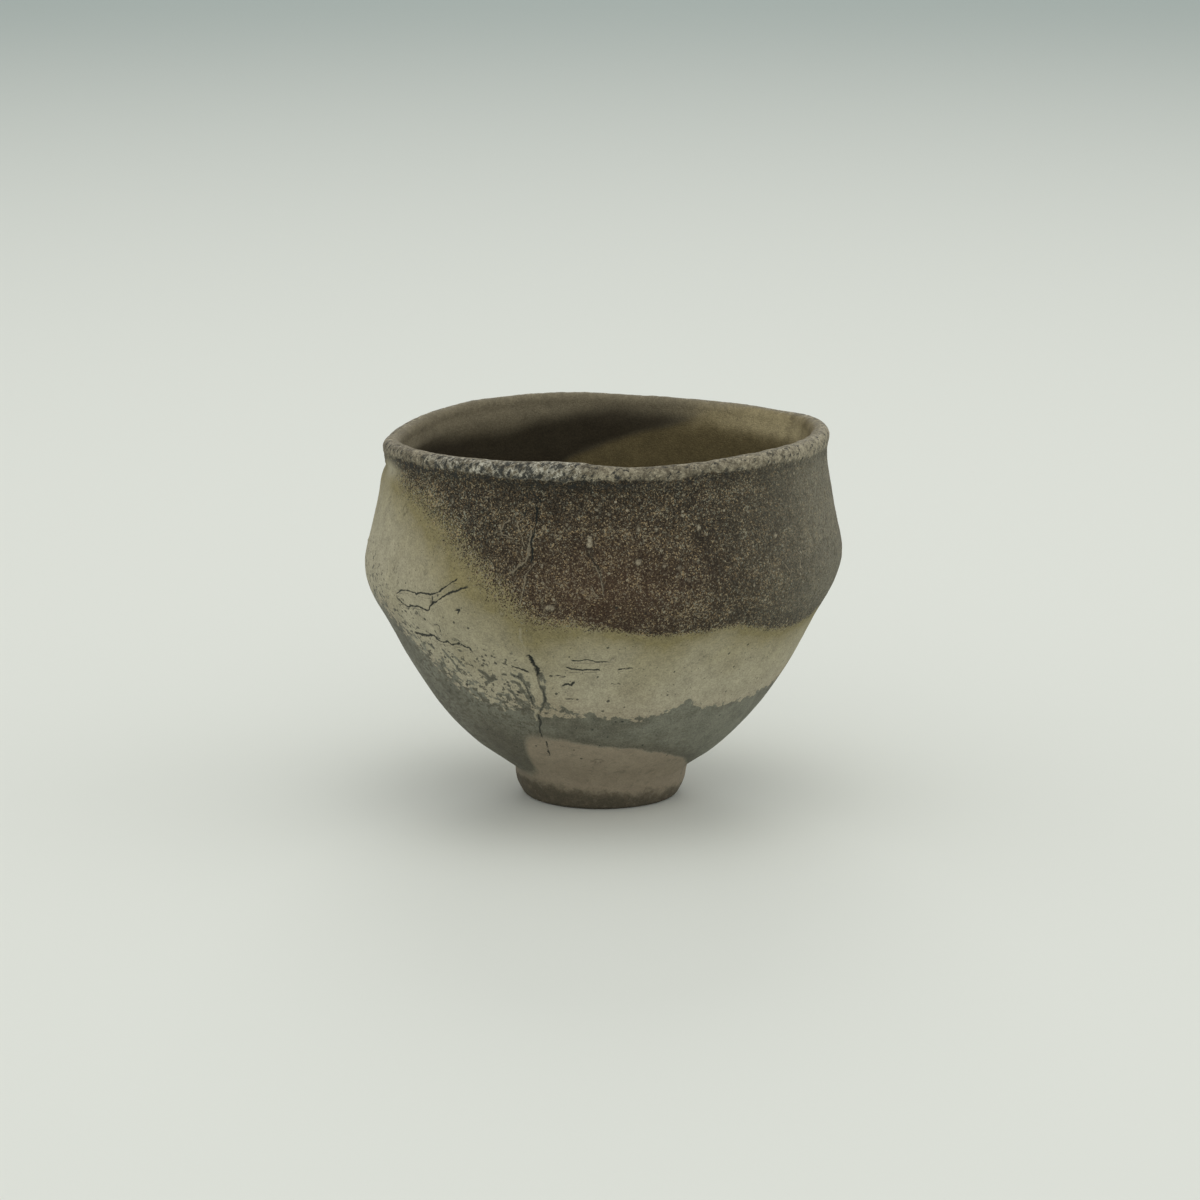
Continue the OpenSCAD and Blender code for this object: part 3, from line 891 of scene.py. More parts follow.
@dataclass
class Relief:
    """Unevenness of the skin: finger waves, grit, seams, cracks, stones and pits."""

    # Height and size of each kind of lump
    wave: Edges = (0.16, 11.0)
    dimple: Edges = (0.07, 3.4)
    grit: Edges = (0.055, 0.62)
    lip_lump: Edges = (0.1, 2.4)
    foot_size: float = 2.2
    smooth_grit: float = 0.25
    lip_share: float = 0.3
    foot: Swell = Swell(0.1, 2.2, 1.6)
    quiet_foot: Edges = (1.2, 5.0)
    fillet: Swell = Swell(0.3, 0.0, 0.9)
    shallow_neck: Patch = Patch(190.0, 30.0)
    neck_fill: Swell = Swell(0.36, 0.0, 0.55)
    neck_cut: Swell = Swell(-0.16, -1.3, 0.8)
    under_lip: float = 0.14
    wander: float = 0.14
    slow_wander: float = 0.6
    crack_reach: float = 1.0
    crack_fade: Edges = (0.85, 0.45)
    crack_end: float = 0.35
    crack_soft: Edges = (-0.1, 0.12)
    crack_thick: Edges = (0.8, 0.45)
    crack_cut: float = 0.2
    far_crack: float = 4.0
    far_stroke: float = 3.0
    stroke_reach: float = 2.5
    scattered_stones: int = 120
    stone_half: Edges = (0.14, 0.2)
    stone_heights: Edges = (31.0, 50.5)
    stone_long: Edges = (0.8, 1.5)
    stone_proud: Edges = (0.05, 0.13)
    stone_chalk: Edges = (0.12, 0.5)
    stone_reach: float = 2.2
    stone_ragged: float = 0.4
    stone_side: Edges = (1.25, 0.35)
    stone_colour: Edges = (1.1, 0.7)
    moat: Swell = Swell(0.5, 1.35, 0.3)
    rim: Swell = Swell(1.0, 1.4, 0.3)
    pits: int = 190
    pit_heights: Edges = (9.0, 36.0)
    pit_radius: Edges = (0.11, 0.24)
    dot_radius: float = 0.26
    pit: Swell = Swell(0.07, 0.0, 1.2)
    pit_ragged: float = 0.3
    pit_reach: float = 1.0
    far_pit: float = 2.0
    seed: int = 11
    loose: Mottle = field(default_factory=lambda: Mottle(3))
    fine: Mottle = field(default_factory=lambda: Mottle(4))

    def work(self, skin: Skin) -> None:
        """Works the relief into the skin and notes cracks, pale spots and the painted shade round stones as
        marks.

        Args:
            skin: The cup's skin.
        """
        marks, shape = skin.marks, skin.relief.shape
        skin.relief = self.unevenness(skin)
        layers = (*CRACK_LAYERS, *RIDGE_LAYERS)
        clear = {"stroke": self.far_stroke, "pit": self.far_pit, "rim": 0.0, "chalk": 0.0}
        clear |= {f"crack_{layer}": self.far_crack for layer in layers}
        clear |= {f"open_{layer}": 0.0 for layer in layers}
        marks.update({name: np.full(shape, value) for name, value in clear.items()})
        for number, crack in enumerate((*CRACKS, *RIDGES)):
            self.cut(skin, crack, number)
        for places in STROKES:
            line = skin.on_outside(places)
            near = skin.near(line, self.stroke_reach)
            away = np.abs(distance_to(skin.points[near], line)[0])
            marks["stroke"][near] = np.minimum(marks["stroke"][near], away)
        rng = np.random.default_rng(self.seed)
        for stone in (*STONES, *self.scatter(rng)):
            self.set_stone(skin, stone)
        self.prick(skin, rng)
        marks["chalk"] *= skin.facing(Face.OUTSIDE)
        skin.push()

    def unevenness(self, skin: Skin) -> Array:
        """Finger waves, dimples and grit, the lumpy lip and foot, and the clay at the waist and neck.

        Args:
            skin: The cup's skin.

        Returns:
            Height of the relief in millimetres at every point.
        """
        dimple_shift, foot_shift, layers = 50.0, 9.0, 2

        def lumps(field_of: Mottle, kind: Edges, shift: float = 0.0) -> Array:
            """Lumps of one kind over the whole skin."""
            return kind[0] * field_of.layered(skin.points + shift, kind[1], layers)

        form, outside = skin.form, skin.facing(Face.OUTSIDE)
        first, last = skin.spans[Run.LIP]
        row = np.arange(skin.points.shape[1])[None, :]
        on_lip = hill(row - (first + last) / 2.0, (last - first) * self.lip_share)
        coarse = self.smooth_grit + (1.0 - self.smooth_grit) * np.maximum(skin.marks["scorch"], on_lip)
        relief = lumps(self.loose, self.wave) + lumps(self.loose, self.dimple, dimple_shift)
        relief += lumps(self.fine, self.grit) * coarse + lumps(self.fine, self.lip_lump) * on_lip
        relief *= ease(skin.height, *self.quiet_foot)
        # The foot is rougher low down, but its seat stays flat
        relief += self.foot.at(skin.height) * outside * lumps(self.fine, (1.0, self.foot_size), foot_shift)
        waist = [form.waist_width / 2.0, form.foot_height]
        from_waist = np.linalg.norm(skin.outline - waist, axis=-1)
        relief += self.fillet.at(from_waist) * outside * (1.0 - skin.smeared[:, None])
        # The neck is shallower at the far left
        past_neck = skin.height - form.neck_height(skin.angle)[:, None]
        filled = self.neck_fill.at(past_neck) + self.neck_cut.at(past_neck)
        relief += self.shallow_neck.round_way(skin.angle)[:, None] * outside * filled
        return relief - skin.marks["under_lip"] * self.under_lip

    def cut(self, skin: Skin, crack: Crack, number: int) -> None:
        """Cuts one crack into the relief and notes it in its layer's marks.

        Args:
            skin: The cup's skin.
            crack: The crack.
            number: Its number, which fixes where it thins out.
        """
        line = skin.on_outside(crack.places)
        near = skin.near(line, self.crack_reach)
        distance, along, past = distance_to(skin.points[near], line)
        # Each crack has its own stretch of the random fields, one for each way that it varies
        apart, slow_shift, thick_shift, gap_shift = 7.0, 5.0, 9.0, 3.0
        wander_size, slow_size, thick_size, gap_size = 0.55, 1.7, 0.9, 1.2
        walk = np.stack([along, np.full_like(along, apart * number), np.zeros_like(along)], axis=-1)
        slow = self.slow_wander * self.loose.at(walk + slow_shift, slow_size)
        distance = distance + self.wander * (self.fine.at(walk, wander_size) + slow)
        mean, spread = self.crack_thick
        thick = crack.width * (mean + spread * self.fine.at(walk + thick_shift, thick_size))
        whole, broken = (crack.gaps + soft for soft in self.crack_soft)
        kept = ease(HALF + HALF * self.loose.at(walk + gap_shift, gap_size), whole, broken)
        away = np.abs(distance)
        outer, inner = (self.crack_reach * share for share in self.crack_fade)
        opened = crack.ink * kept * ease(past, self.crack_end, 0.0) * ease(away, outer, inner)
        mark, share = skin.marks[f"crack_{crack.layer}"], skin.marks[f"open_{crack.layer}"]
        closest = away < np.abs(mark[near]) * thick
        limit = self.far_crack
        mark[near] = np.where(closest, np.clip(distance / thick, -limit, limit), mark[near])
        share[near] = np.where(closest, opened, share[near])
        skin.relief[near] -= crack.depth * hill(distance, self.crack_cut) * opened

    def scatter(self, rng: np.random.Generator) -> list[Stone]:
        """Small stones spread over the upper wall, where the clay is coarsest.

        Args:
            rng: Random numbers.

        Returns:
            The stones.
        """
        stones = []
        least, more = self.stone_half
        for _ in range(self.scattered_stones):
            half = least + more * rng.random() ** 2
            angle, height = rng.uniform(0.0, FULL_TURN), rng.uniform(*self.stone_heights)
            long, proud, chalk = (
                rng.uniform(*r) for r in (self.stone_long, self.stone_proud, self.stone_chalk)
            )
            stones.append(Stone(angle, height, half, half * long, proud, chalk))
        return stones

    def set_stone(self, skin: Skin, stone: Stone) -> None:
        """Raises one stone out of the skin, with a painted shade ring in the moat round it.

        Args:
            skin: The cup's skin.
            stone: The stone.
        """
        centre = skin.on_outside(((stone.angle, stone.height),))
        edge_shift, edge_size = 3.0, 0.55
        reach = self.stone_reach * max(stone.half_width, stone.half_height)
        near = skin.near(centre, reach)
        if not len(near[0]):
            return
        way = skin.points[near] - centre[0]
        turned = math.radians(stone.angle)
        across = way @ np.array([-math.sin(turned), math.cos(turned), 0.0])
        up = np.sqrt(np.clip((way**2).sum(axis=-1) - across**2, 0.0, None))
        edge = 1.0 + self.stone_ragged * self.fine.at(skin.points[near] + edge_shift, edge_size)
        size = np.hypot(across / stone.half_width, up / stone.half_height) * edge
        skin.relief[near] += stone.proud * ease(size, *self.stone_side)
        skin.relief[near] -= abs(stone.proud) * self.moat.at(size)
        chalk, rim = skin.marks["chalk"], skin.marks["rim"]
        chalk[near] = np.maximum(chalk[near], stone.chalk * ease(size, *self.stone_colour))
        # The rim mark is a painted shade ring in the moat round the stone
        rim[near] = np.maximum(rim[near], self.rim.at(size))

    def prick(self, skin: Skin, rng: np.random.Generator) -> None:
        """Pricks small dark pits into the clay, some at chosen places and some scattered.

        Args:
            skin: The cup's skin.
            rng: Random numbers.
        """
        edge_size = 0.4
        pit = skin.marks["pit"]
        scattered = [
            (rng.uniform(0.0, FULL_TURN), rng.uniform(*self.pit_heights)) for _ in range(self.pits)
        ]
        for number, (angle, height) in enumerate((*DOTS, *scattered)):
            radius = self.dot_radius if number < len(DOTS) else rng.uniform(*self.pit_radius)
            centre = skin.on_outside(((angle, height),))
            near = skin.near(centre, self.pit_reach)
            if not len(near[0]):
                continue
            size = np.linalg.norm(skin.points[near] - centre[0], axis=-1) / radius
            size = size * (1.0 + self.pit_ragged * self.fine.at(skin.points[near], edge_size))
            skin.relief[near] -= self.pit.at(size)
            pit[near] = np.minimum(pit[near], size)


@dataclass
class KilnMarks:
    """Where the kiln coloured the clay, and where shade, sheen and a highlight are painted, as lines round
    the cup of angle and height.
    """

    # Lower edge of the scorched clay, which climbs to the lip on the left
    scorch_edge: Table = (
        (0, 30), (30, 31.5), (60, 33), (90, 32), (120, 34), (150, 38.5), (170, 44.5), (184, 50.5),
        (195, 51.6), (202, 50.6), (208, 49.4), (220, 47.4), (228, 45), (234, 42.2), (240, 39.6),
        (244.5, 37.2), (249, 35.2), (252.5, 33.2), (255, 32.6), (264, 32.2), (273, 31.6), (282, 30.4),
        (296, 30.8), (306, 31.1), (321, 28.8), (330, 28.6), (345, 29.2),
    )  # fmt: skip
    # Half the width of its speckled border
    scorch_border: Table = (
        (0, 1.4), (60, 2.2), (120, 3.6), (170, 5), (200, 3.2), (222, 6.8), (240, 8.4), (249, 7.2),
        (256, 3.4), (275, 1.6), (300, 1.3), (330, 1.4),
    )  # fmt: skip
    # How far the olive tint reaches into the pale clay
    olive_reach: Table = (
        (0, 4.5), (90, 6), (170, 8), (205, 5), (230, 9.5), (248, 8), (262, 4.4), (300, 4.2), (330, 4.6),
    )  # fmt: skip
    # Upper and lower edges of the smoke-grey band
    smoke_top: Table = (
        (0, 20), (20, 22), (50, 18), (80, 16.5), (110, 20), (140, 25), (170, 29), (190, 30.5), (201, 29.6),
        (206, 27.4), (212, 24.4), (217, 22.8), (222, 20.4), (229, 18.8), (236, 18), (243, 18.6),
        (248, 18.4), (252, 17.4), (256, 17.2), (262.6, 17.5), (269, 17.1), (276, 16.8), (282.6, 16.5),
        (287, 17.1), (291.2, 17.7), (294.6, 18.4), (297.4, 19.6), (300, 18.2), (304.6, 17.6), (312, 17.6),
        (322, 17.4), (332, 17.9), (345, 18.6),
    )  # fmt: skip
    smoke_foot: Table = (
        (0, 5.2), (40, 5.8), (70, 9), (100, 11.5), (130, 9), (160, 5.4), (200, 4.6), (225, 4.9), (232.5, 6),
        (236, 8.3), (238.5, 10.6), (241, 12.6), (244.5, 13.2), (251, 13.3), (258, 12.9), (266, 12.3),
        (274, 12.1), (284, 11.5), (294, 10.5), (303, 9.4), (318, 7.4), (335, 5),
    )  # fmt: skip
    # How ragged the smoke's upper edge is, in millimetres
    smoke_ragged: Table = (
        (0, 1.2), (60, 2), (120, 3.2), (180, 3.6), (225, 4.2), (246, 3.8), (256, 1.6), (266, 0.9),
        (290, 0.7), (320, 0.6),
    )  # fmt: skip
    # How far down the lip's ash-pale edge, partly a painted highlight on the lip's top, reaches
    lip_band: Table = (
        (0, 2), (90, 1.5), (180, 1.6), (215, 1.4), (236, 1.7), (254, 2.3), (262, 2.3), (269, 1.7),
        (290, 1.5), (312, 1.5), (330, 1.9), (345, 2.2),
    )  # fmt: skip
    # Inside the bowl: lower edge of the brown zone, and upper edge of the khaki one
    brown_low: Table = (
        (0, 51.6), (20, 51.6), (45, 51.5), (60, 52), (73, 52.5), (85, 53.1), (97, 52.9), (109, 51.7),
        (123, 50.4), (138, 50.2), (153, 50.8), (185, 49.2), (225, 45), (270, 46.5), (320, 49.5),
    )  # fmt: skip
    khaki_top: Table = (
        (0, 55), (35, 55), (51, 53.5), (59, 52.7), (64, 51.5), (73, 50), (82, 49), (91, 47.1), (100, 45.4),
        (115, 40), (140, 31), (180, 26), (220, 30), (260, 41), (290, 47), (320, 53),
    )  # fmt: skip
    drift_size: float = 5.0
    scorch_drift: float = 0.55
    inside_scorch: float = 0.3
    inside_olive: float = 0.75
    olive_start: float = 0.4
    olive_fall: float = 1.6
    olive_uneven: float = 0.35
    olive_size: float = 3.0
    smoke_soften: float = 0.8
    far_below: float = -9.0
    bowl_drift: float = 0.4
    khaki_soft: float = 1.9
    brown_edge: Edges = (-2.0, 3.0)
    dark_edge: Edges = (-1.9, 1.3)
    olive_patch: Patch = Patch(33.0, 29.0, 52.4, 2.0)
    pool_radius: float = 11.0
    pool_drift: float = 2.0
    pool_heights: Edges = (22.0, 15.0)
    band_drift: float = 0.45
    lip_shadow: Swell = Swell(1.0, 0.8, 0.9)
    faint_shadow: Patch = Patch(318.0, 40.0, strength=0.55)
    foot_height: float = 2.7
    foot_tilt: float = 0.7
    foot_drift: float = 0.7
    foot_rise: Patch = Patch(212.0, 17.0, strength=0.4)
    foot_edge: Edges = (1.8, -1.3)
    faint_foot: Patch = Patch(322.0, 34.0, strength=0.3)
    sooty: tuple[Patch, ...] = (Patch(229.0, 20.0, 9.5, 7.0, 1.2), Patch(298.0, 14.0, 8.6, 1.8))
    # Painted shade under the lip: where it is left out, and how strong it is
    unshaded_lip: Patch = Patch(205.0, 22.0)
    lip_shade_share: float = 0.3
    # Dust on the cup's right side, partly a painted sheen that lightens the clay there
    dusted_and_sheened: Patch = Patch(346.0, 28.0, strength=1.15)
    dust_and_sheen_heights: Edges = (26.0, 34.0)
    warm: Patch = Patch(270.0, 26.0, 37.0, 9.0)
    lip_edge: Edges = (0.65, -0.4)
    white_start: Edges = (214.0, 226.0)
    white_end: Edges = (268.0, 258.0)
    strip: Patch = Patch(197.0, 6.0, 3.6, 1.3)
    field: Mottle = field(default_factory=lambda: Mottle(7))

    def draw(self, skin: Skin) -> None:
        """Draws every mark on the skin.

        Args:
            skin: The cup's skin.
        """
        angle, height, points = skin.angle, skin.height, skin.points
        inside = skin.inner_share()
        outer = 1.0 - inside
        olive_shift = 40.0
        drift = self.field.layered(points, self.drift_size)
        edge = round_table(self.scorch_edge, angle) + self.scorch_drift * drift
        border = round_table(self.scorch_border, angle)
        scorch = ease(height - edge, -border, border)
        skin.marks["scorch"] = scorch * outer + self.inside_scorch * inside

        reach = round_table(self.olive_reach, angle)
        past_edge = np.clip(edge - border * self.olive_start - height, 0.0, None)
        olive = np.exp(-past_edge / reach * self.olive_fall)
        olive *= 1.0 + self.olive_uneven * self.field.layered(points + olive_shift, self.olive_size)
        skin.marks["olive"] = np.clip(olive, 0.0, 1.0) * outer + self.inside_olive * inside

        top = round_table(self.smoke_top, angle, self.smoke_soften)
        bottom = round_table(self.smoke_foot, angle)
        ragged = round_table(self.smoke_ragged, angle)
        skin.marks["smoke_in"] = np.where(inside > HALF, self.far_below, top - height)
        skin.marks["smoke_foot"] = np.clip(height - bottom, self.far_below, -self.far_below)
        skin.marks["ragged"] = np.broadcast_to(ragged, height.shape)
        skin.marks["inside"] = np.broadcast_to(inside, height.shape)
        self.colour_bowl(skin, inside, drift)
        self.shade(skin, outer, drift)

    def colour_bowl(self, skin: Skin, inside: Array, drift: Array) -> None:
        """Notes the dark, khaki and olive zones inside the bowl.

        Args:
            skin: The cup's skin.
            inside: Share of the way over the lip.
            drift: Slow random change over the skin.
        """
        height, soft = skin.height, self.khaki_soft
        low = round_table(self.brown_low, skin.angle) + self.bowl_drift * drift
        top = round_table(self.khaki_top, skin.angle) + self.bowl_drift * drift
        skin.marks["khaki"] = inside * ease(top - height, -soft, soft)
        above_khaki = ease(height - top, *self.dark_edge)
        skin.marks["dark_in"] = inside * ease(low - height, *self.brown_edge) * above_khaki
        skin.marks["olive_in"] = inside * self.olive_patch.over(skin.angle[:, None], height)
        radius = np.hypot(skin.points[..., 0], skin.points[..., 1])
        pool = hill(radius, self.pool_radius + self.pool_drift * drift)
        skin.marks["pool"] = inside * pool * ease(height, *self.pool_heights)

    def shade(self, skin: Skin, outer: Array, drift: Array) -> None:
        """Notes the painted shade under the lip, the dust with its painted sheen, warm places and the
        ash-pale lip, partly a painted highlight.

        Args:
            skin: The cup's skin.
            outer: 1 outside, and 0 past the lip.
            drift: Slow random change over the skin.
        """
        height, column, marks = skin.height, skin.angle[:, None], skin.marks
        drop = skin.form.rim_height(skin.angle)[:, None] - height
        band = round_table(self.lip_band, skin.angle) + self.band_drift * drift
        under_lip = self.lip_shadow.at(drop - band) * outer
        marks["under_lip"] = under_lip * (1.0 - self.faint_shadow.round_way(column))
        foot = self.foot_height - self.foot_tilt * np.cos(np.radians(column)) + self.foot_drift * drift
        foot = foot + self.foot_rise.round_way(column)
        above, below = self.foot_edge
        foot_low = ease(height, foot + above, foot + below) * skin.facing(Face.OUTSIDE, Face.BELOW)
        marks["foot_dark"] = foot_low * (1.0 - self.faint_foot.round_way(column))
        sooty = np.maximum(*(patch.over(column, height) for patch in self.sooty))
        marks["sooty"] = sooty * skin.facing(Face.OUTSIDE)
        # Painted shade in the band under the lip, left out at the far left
        marks["painted_lip_shade"] = self.lip_shade_share * marks["under_lip"] * (1.0 - self.unshaded_lip.round_way(column))
        # Dust, partly a painted sheen, on the right side
        marks["dust_and_sheen"] = outer * self.dusted_and_sheened.round_way(column) * ease(height, *self.dust_and_sheen_heights)
        marks["warm"] = self.warm.over(column, height) * outer
        # The lip's ash-pale edge, partly a painted highlight on the lip's top
        lip_low, lip_high = self.lip_edge
        marks["lip_ash_and_highlight"] = ease(drop, band + lip_low, band + lip_high) * outer
        white = ease(column, *self.white_start) * ease(column, *self.white_end)
        marks["lip_white"] = marks["lip_ash_and_highlight"] * white
        marks["strip"] = self.strip.over(column, drop) * outer


class ClayPiece:
    """One clay piece, parted from the skin and closed at its luted joints."""

    MAP_GAP = 0.01
    SAME_PLACE = 1e-6

    def __init__(self, name: str, runs: tuple[Run, ...], clay: Clay) -> None:
        """Names the piece.

        Args:
            name: Node that the piece stands for.
            runs: Its stretches of the skin, in loop order.
            clay: Its material slot.
        """
        self.name = name
        self.runs = runs
        self.clay = clay

    def build(self, skin: Skin) -> bpy.types.Object:
        """Makes the piece's mesh with its marks and its map.

        Args:
            skin: The cup's skin, with its relief.

        Returns:
            The piece's object.
        """
        columns = len(skin.angle)
        rows = [r for run in self.runs for r in range(skin.spans[run][0], skin.spans[run][1] + 1)]
        capped = rows[0] == 0
        ends = list(np.cumsum([skin.spans[run][1] - skin.spans[run][0] + 1 for run in self.runs]))
        joints = {end - 1 for end in ends if not (capped and end == ends[-1])}

        grid = np.arange(columns)[:, None] * len(rows) + np.arange(len(rows))[None, :]
        here = np.arange(columns)
        after = (here + 1) % columns
        quads, sharp = [], []
        for row in range(len(rows) - capped):
            up = (row + 1) % len(rows)
            ring = [grid[here, row], grid[after, row], grid[after, up], grid[here, up]]
            quads.append(np.stack(ring, axis=1))
            if row in joints:
                sharp += [row, up]
        faces = np.concatenate(quads)
        points = skin.points[:, rows].reshape(-1, 3) * MM
        mesh = bpy.data.meshes.new(self.name)
        mesh.vertices.add(len(points))
        mesh.vertices.foreach_set("co", points.ravel())
        mesh.loops.add(faces.size)
        mesh.loops.foreach_set("vertex_index", faces.ravel())
        mesh.polygons.add(len(faces))
        mesh.polygons.foreach_set("loop_start", np.arange(0, faces.size, 4))
        mesh.polygons.foreach_set("use_smooth", np.ones(len(faces), dtype=bool))
        mesh.update(calc_edges=True)
        self.add_marks(mesh, skin, rows)
        self.add_map(mesh, skin, rows, faces, grid)
        self.sharpen(mesh, sharp, len(rows))
        if capped:
            self.close_middles(mesh)
        mesh.validate()
        piece = bpy.data.objects.new(self.name + "_clay", mesh)
        bpy.context.scene.collection.objects.link(piece)
        return piece

    def add_marks(self, mesh: bpy.types.Mesh, skin: Skin, rows: list[int]) -> None:
        """Gives the mesh one value of each mark at every point.

        Args:
            mesh: The piece's mesh.
            skin: The cup's skin.
            rows: The piece's rows of the skin.
        """
        for name, values in skin.marks.items():
            mark = mesh.attributes.new(name, "FLOAT", "POINT")
            mark.data.foreach_set("value", values[:, rows].astype(np.float32).ravel())

    def add_map(self, mesh: bpy.types.Mesh, skin: Skin, rows: list[int], faces: Array, grid: Array) -> None:
        """Lays the piece out flat, in two strips of half the way round.

        Args:
            mesh: The piece's mesh.
            skin: The cup's skin.
            rows: The piece's rows of the skin.
            faces: Corner points of each face.
            grid: Point number of each column and row.
        """
        columns, count = grid.shape
        line = skin.outline[:, rows].mean(axis=0)
        steps = np.linalg.norm(np.diff(line, axis=0, append=line[:1]), axis=1)
        along = np.concatenate([[0.0], np.cumsum(steps)]) / steps.sum()
        column, row = faces // count, faces % count
        column = np.where((column == 0) & (column.max(axis=1, keepdims=True) == columns - 1), columns, column)
        row = np.where((row == 0) & (row.max(axis=1, keepdims=True) == count - 1), count, row)
        angle = np.append(skin.angle, FULL_TURN) / FULL_TURN
        half = (column.min(axis=1, keepdims=True) >= columns // 2).astype(float)
        split = angle[columns // 2]
        share = np.where(half > 0, (angle[column] - split) / (1.0 - split), angle[column] / split)
        gap = self.MAP_GAP
        u = gap + share * (1.0 - 2.0 * gap)
        v = (half + gap + along[row] * (1.0 - 2.0 * gap)) / 2.0
        layer = mesh.uv_layers.new(name="OFBake")
        layer.data.foreach_set("uv", np.stack([u, v], axis=-1).ravel())

    def sharpen(self, mesh: bpy.types.Mesh, rows: list[int], count: int) -> None:
        """Marks the edges of the joint faces sharp, so that they don't tilt the skin's shading.

        Args:
            mesh: The piece's mesh.
            rows: Rows at the edges of joint faces.
            count: Rows of the piece.
        """
        ends = np.empty(len(mesh.edges) * 2, dtype=np.int32)
        mesh.edges.foreach_get("vertices", ends)
        row = ends.reshape(-1, 2) % count
        sharp = np.isin(row[:, 0], rows) & (row[:, 0] == row[:, 1])
        mark = mesh.attributes.new("sharp_edge", "BOOLEAN", "EDGE")
        mark.data.foreach_set("value", sharp)

    def close_middles(self, mesh: bpy.types.Mesh) -> None:
        """Joins the points that lie together at the middle of a disc.

        Args:
            mesh: The piece's mesh.
        """
        sheet = bmesh.new()
        sheet.from_mesh(mesh)
        bmesh.ops.remove_doubles(sheet, verts=sheet.verts, dist=self.SAME_PLACE)
        sheet.to_mesh(mesh)
        sheet.free()


class Value:
    """One value of a material's nodes, from which sums are made by plain signs."""

    def __init__(self, sheet: NodeSheet, socket: bpy.types.NodeSocket) -> None:
        """Holds one socket of a sheet."""
        self.sheet = sheet
        self.socket = socket

    def __add__(self, other: Value | float) -> Value:
        """Sum of this and the other."""
        return self.sheet.math("ADD", self, other)

    def __sub__(self, other: Value | float) -> Value:
        """This less the other."""
        return self.sheet.math("SUBTRACT", self, other)

    def __rsub__(self, other: float) -> Value:
        """The other less this."""
        return self.sheet.math("SUBTRACT", other, self)

    def __mul__(self, other: Value | float) -> Value:
        """This times the other."""
        return self.sheet.math("MULTIPLY", self, other)

    def __truediv__(self, other: Value | float) -> Value:
        """This divided by the other."""
        return self.sheet.math("DIVIDE", self, other)

    def __abs__(self) -> Value:
        """This without its sign."""
        return self.sheet.math("ABSOLUTE", self)

    def most(self, other: Value | float) -> Value:
        """The larger of this and the other."""
        return self.sheet.math("MAXIMUM", self, other)

    def least(self, other: Value | float) -> Value:
        """The smaller of this and the other."""
        return self.sheet.math("MINIMUM", self, other)

    def held(self) -> Value:
        """This, held between 0 and 1."""
        return self.sheet.math("ADD", self, 0.0, clamp=True)

    def step(self, edges: tuple[Value | float, Value | float]) -> Value:
        """Smooth step from 0 at the first edge to 1 at the second."""
        node = self.sheet.new("ShaderNodeMapRange", interpolation_type="SMOOTHSTEP")
        return self.sheet.fill(node, {"Value": self, "From Min": edges[0], "From Max": edges[1]}, "Result")

    def fall(self, edges: tuple[Value | float, Value | float]) -> Value:
        """Smooth step from 1 at the first edge to 0 at the second."""
        return 1.0 - self.step(edges)


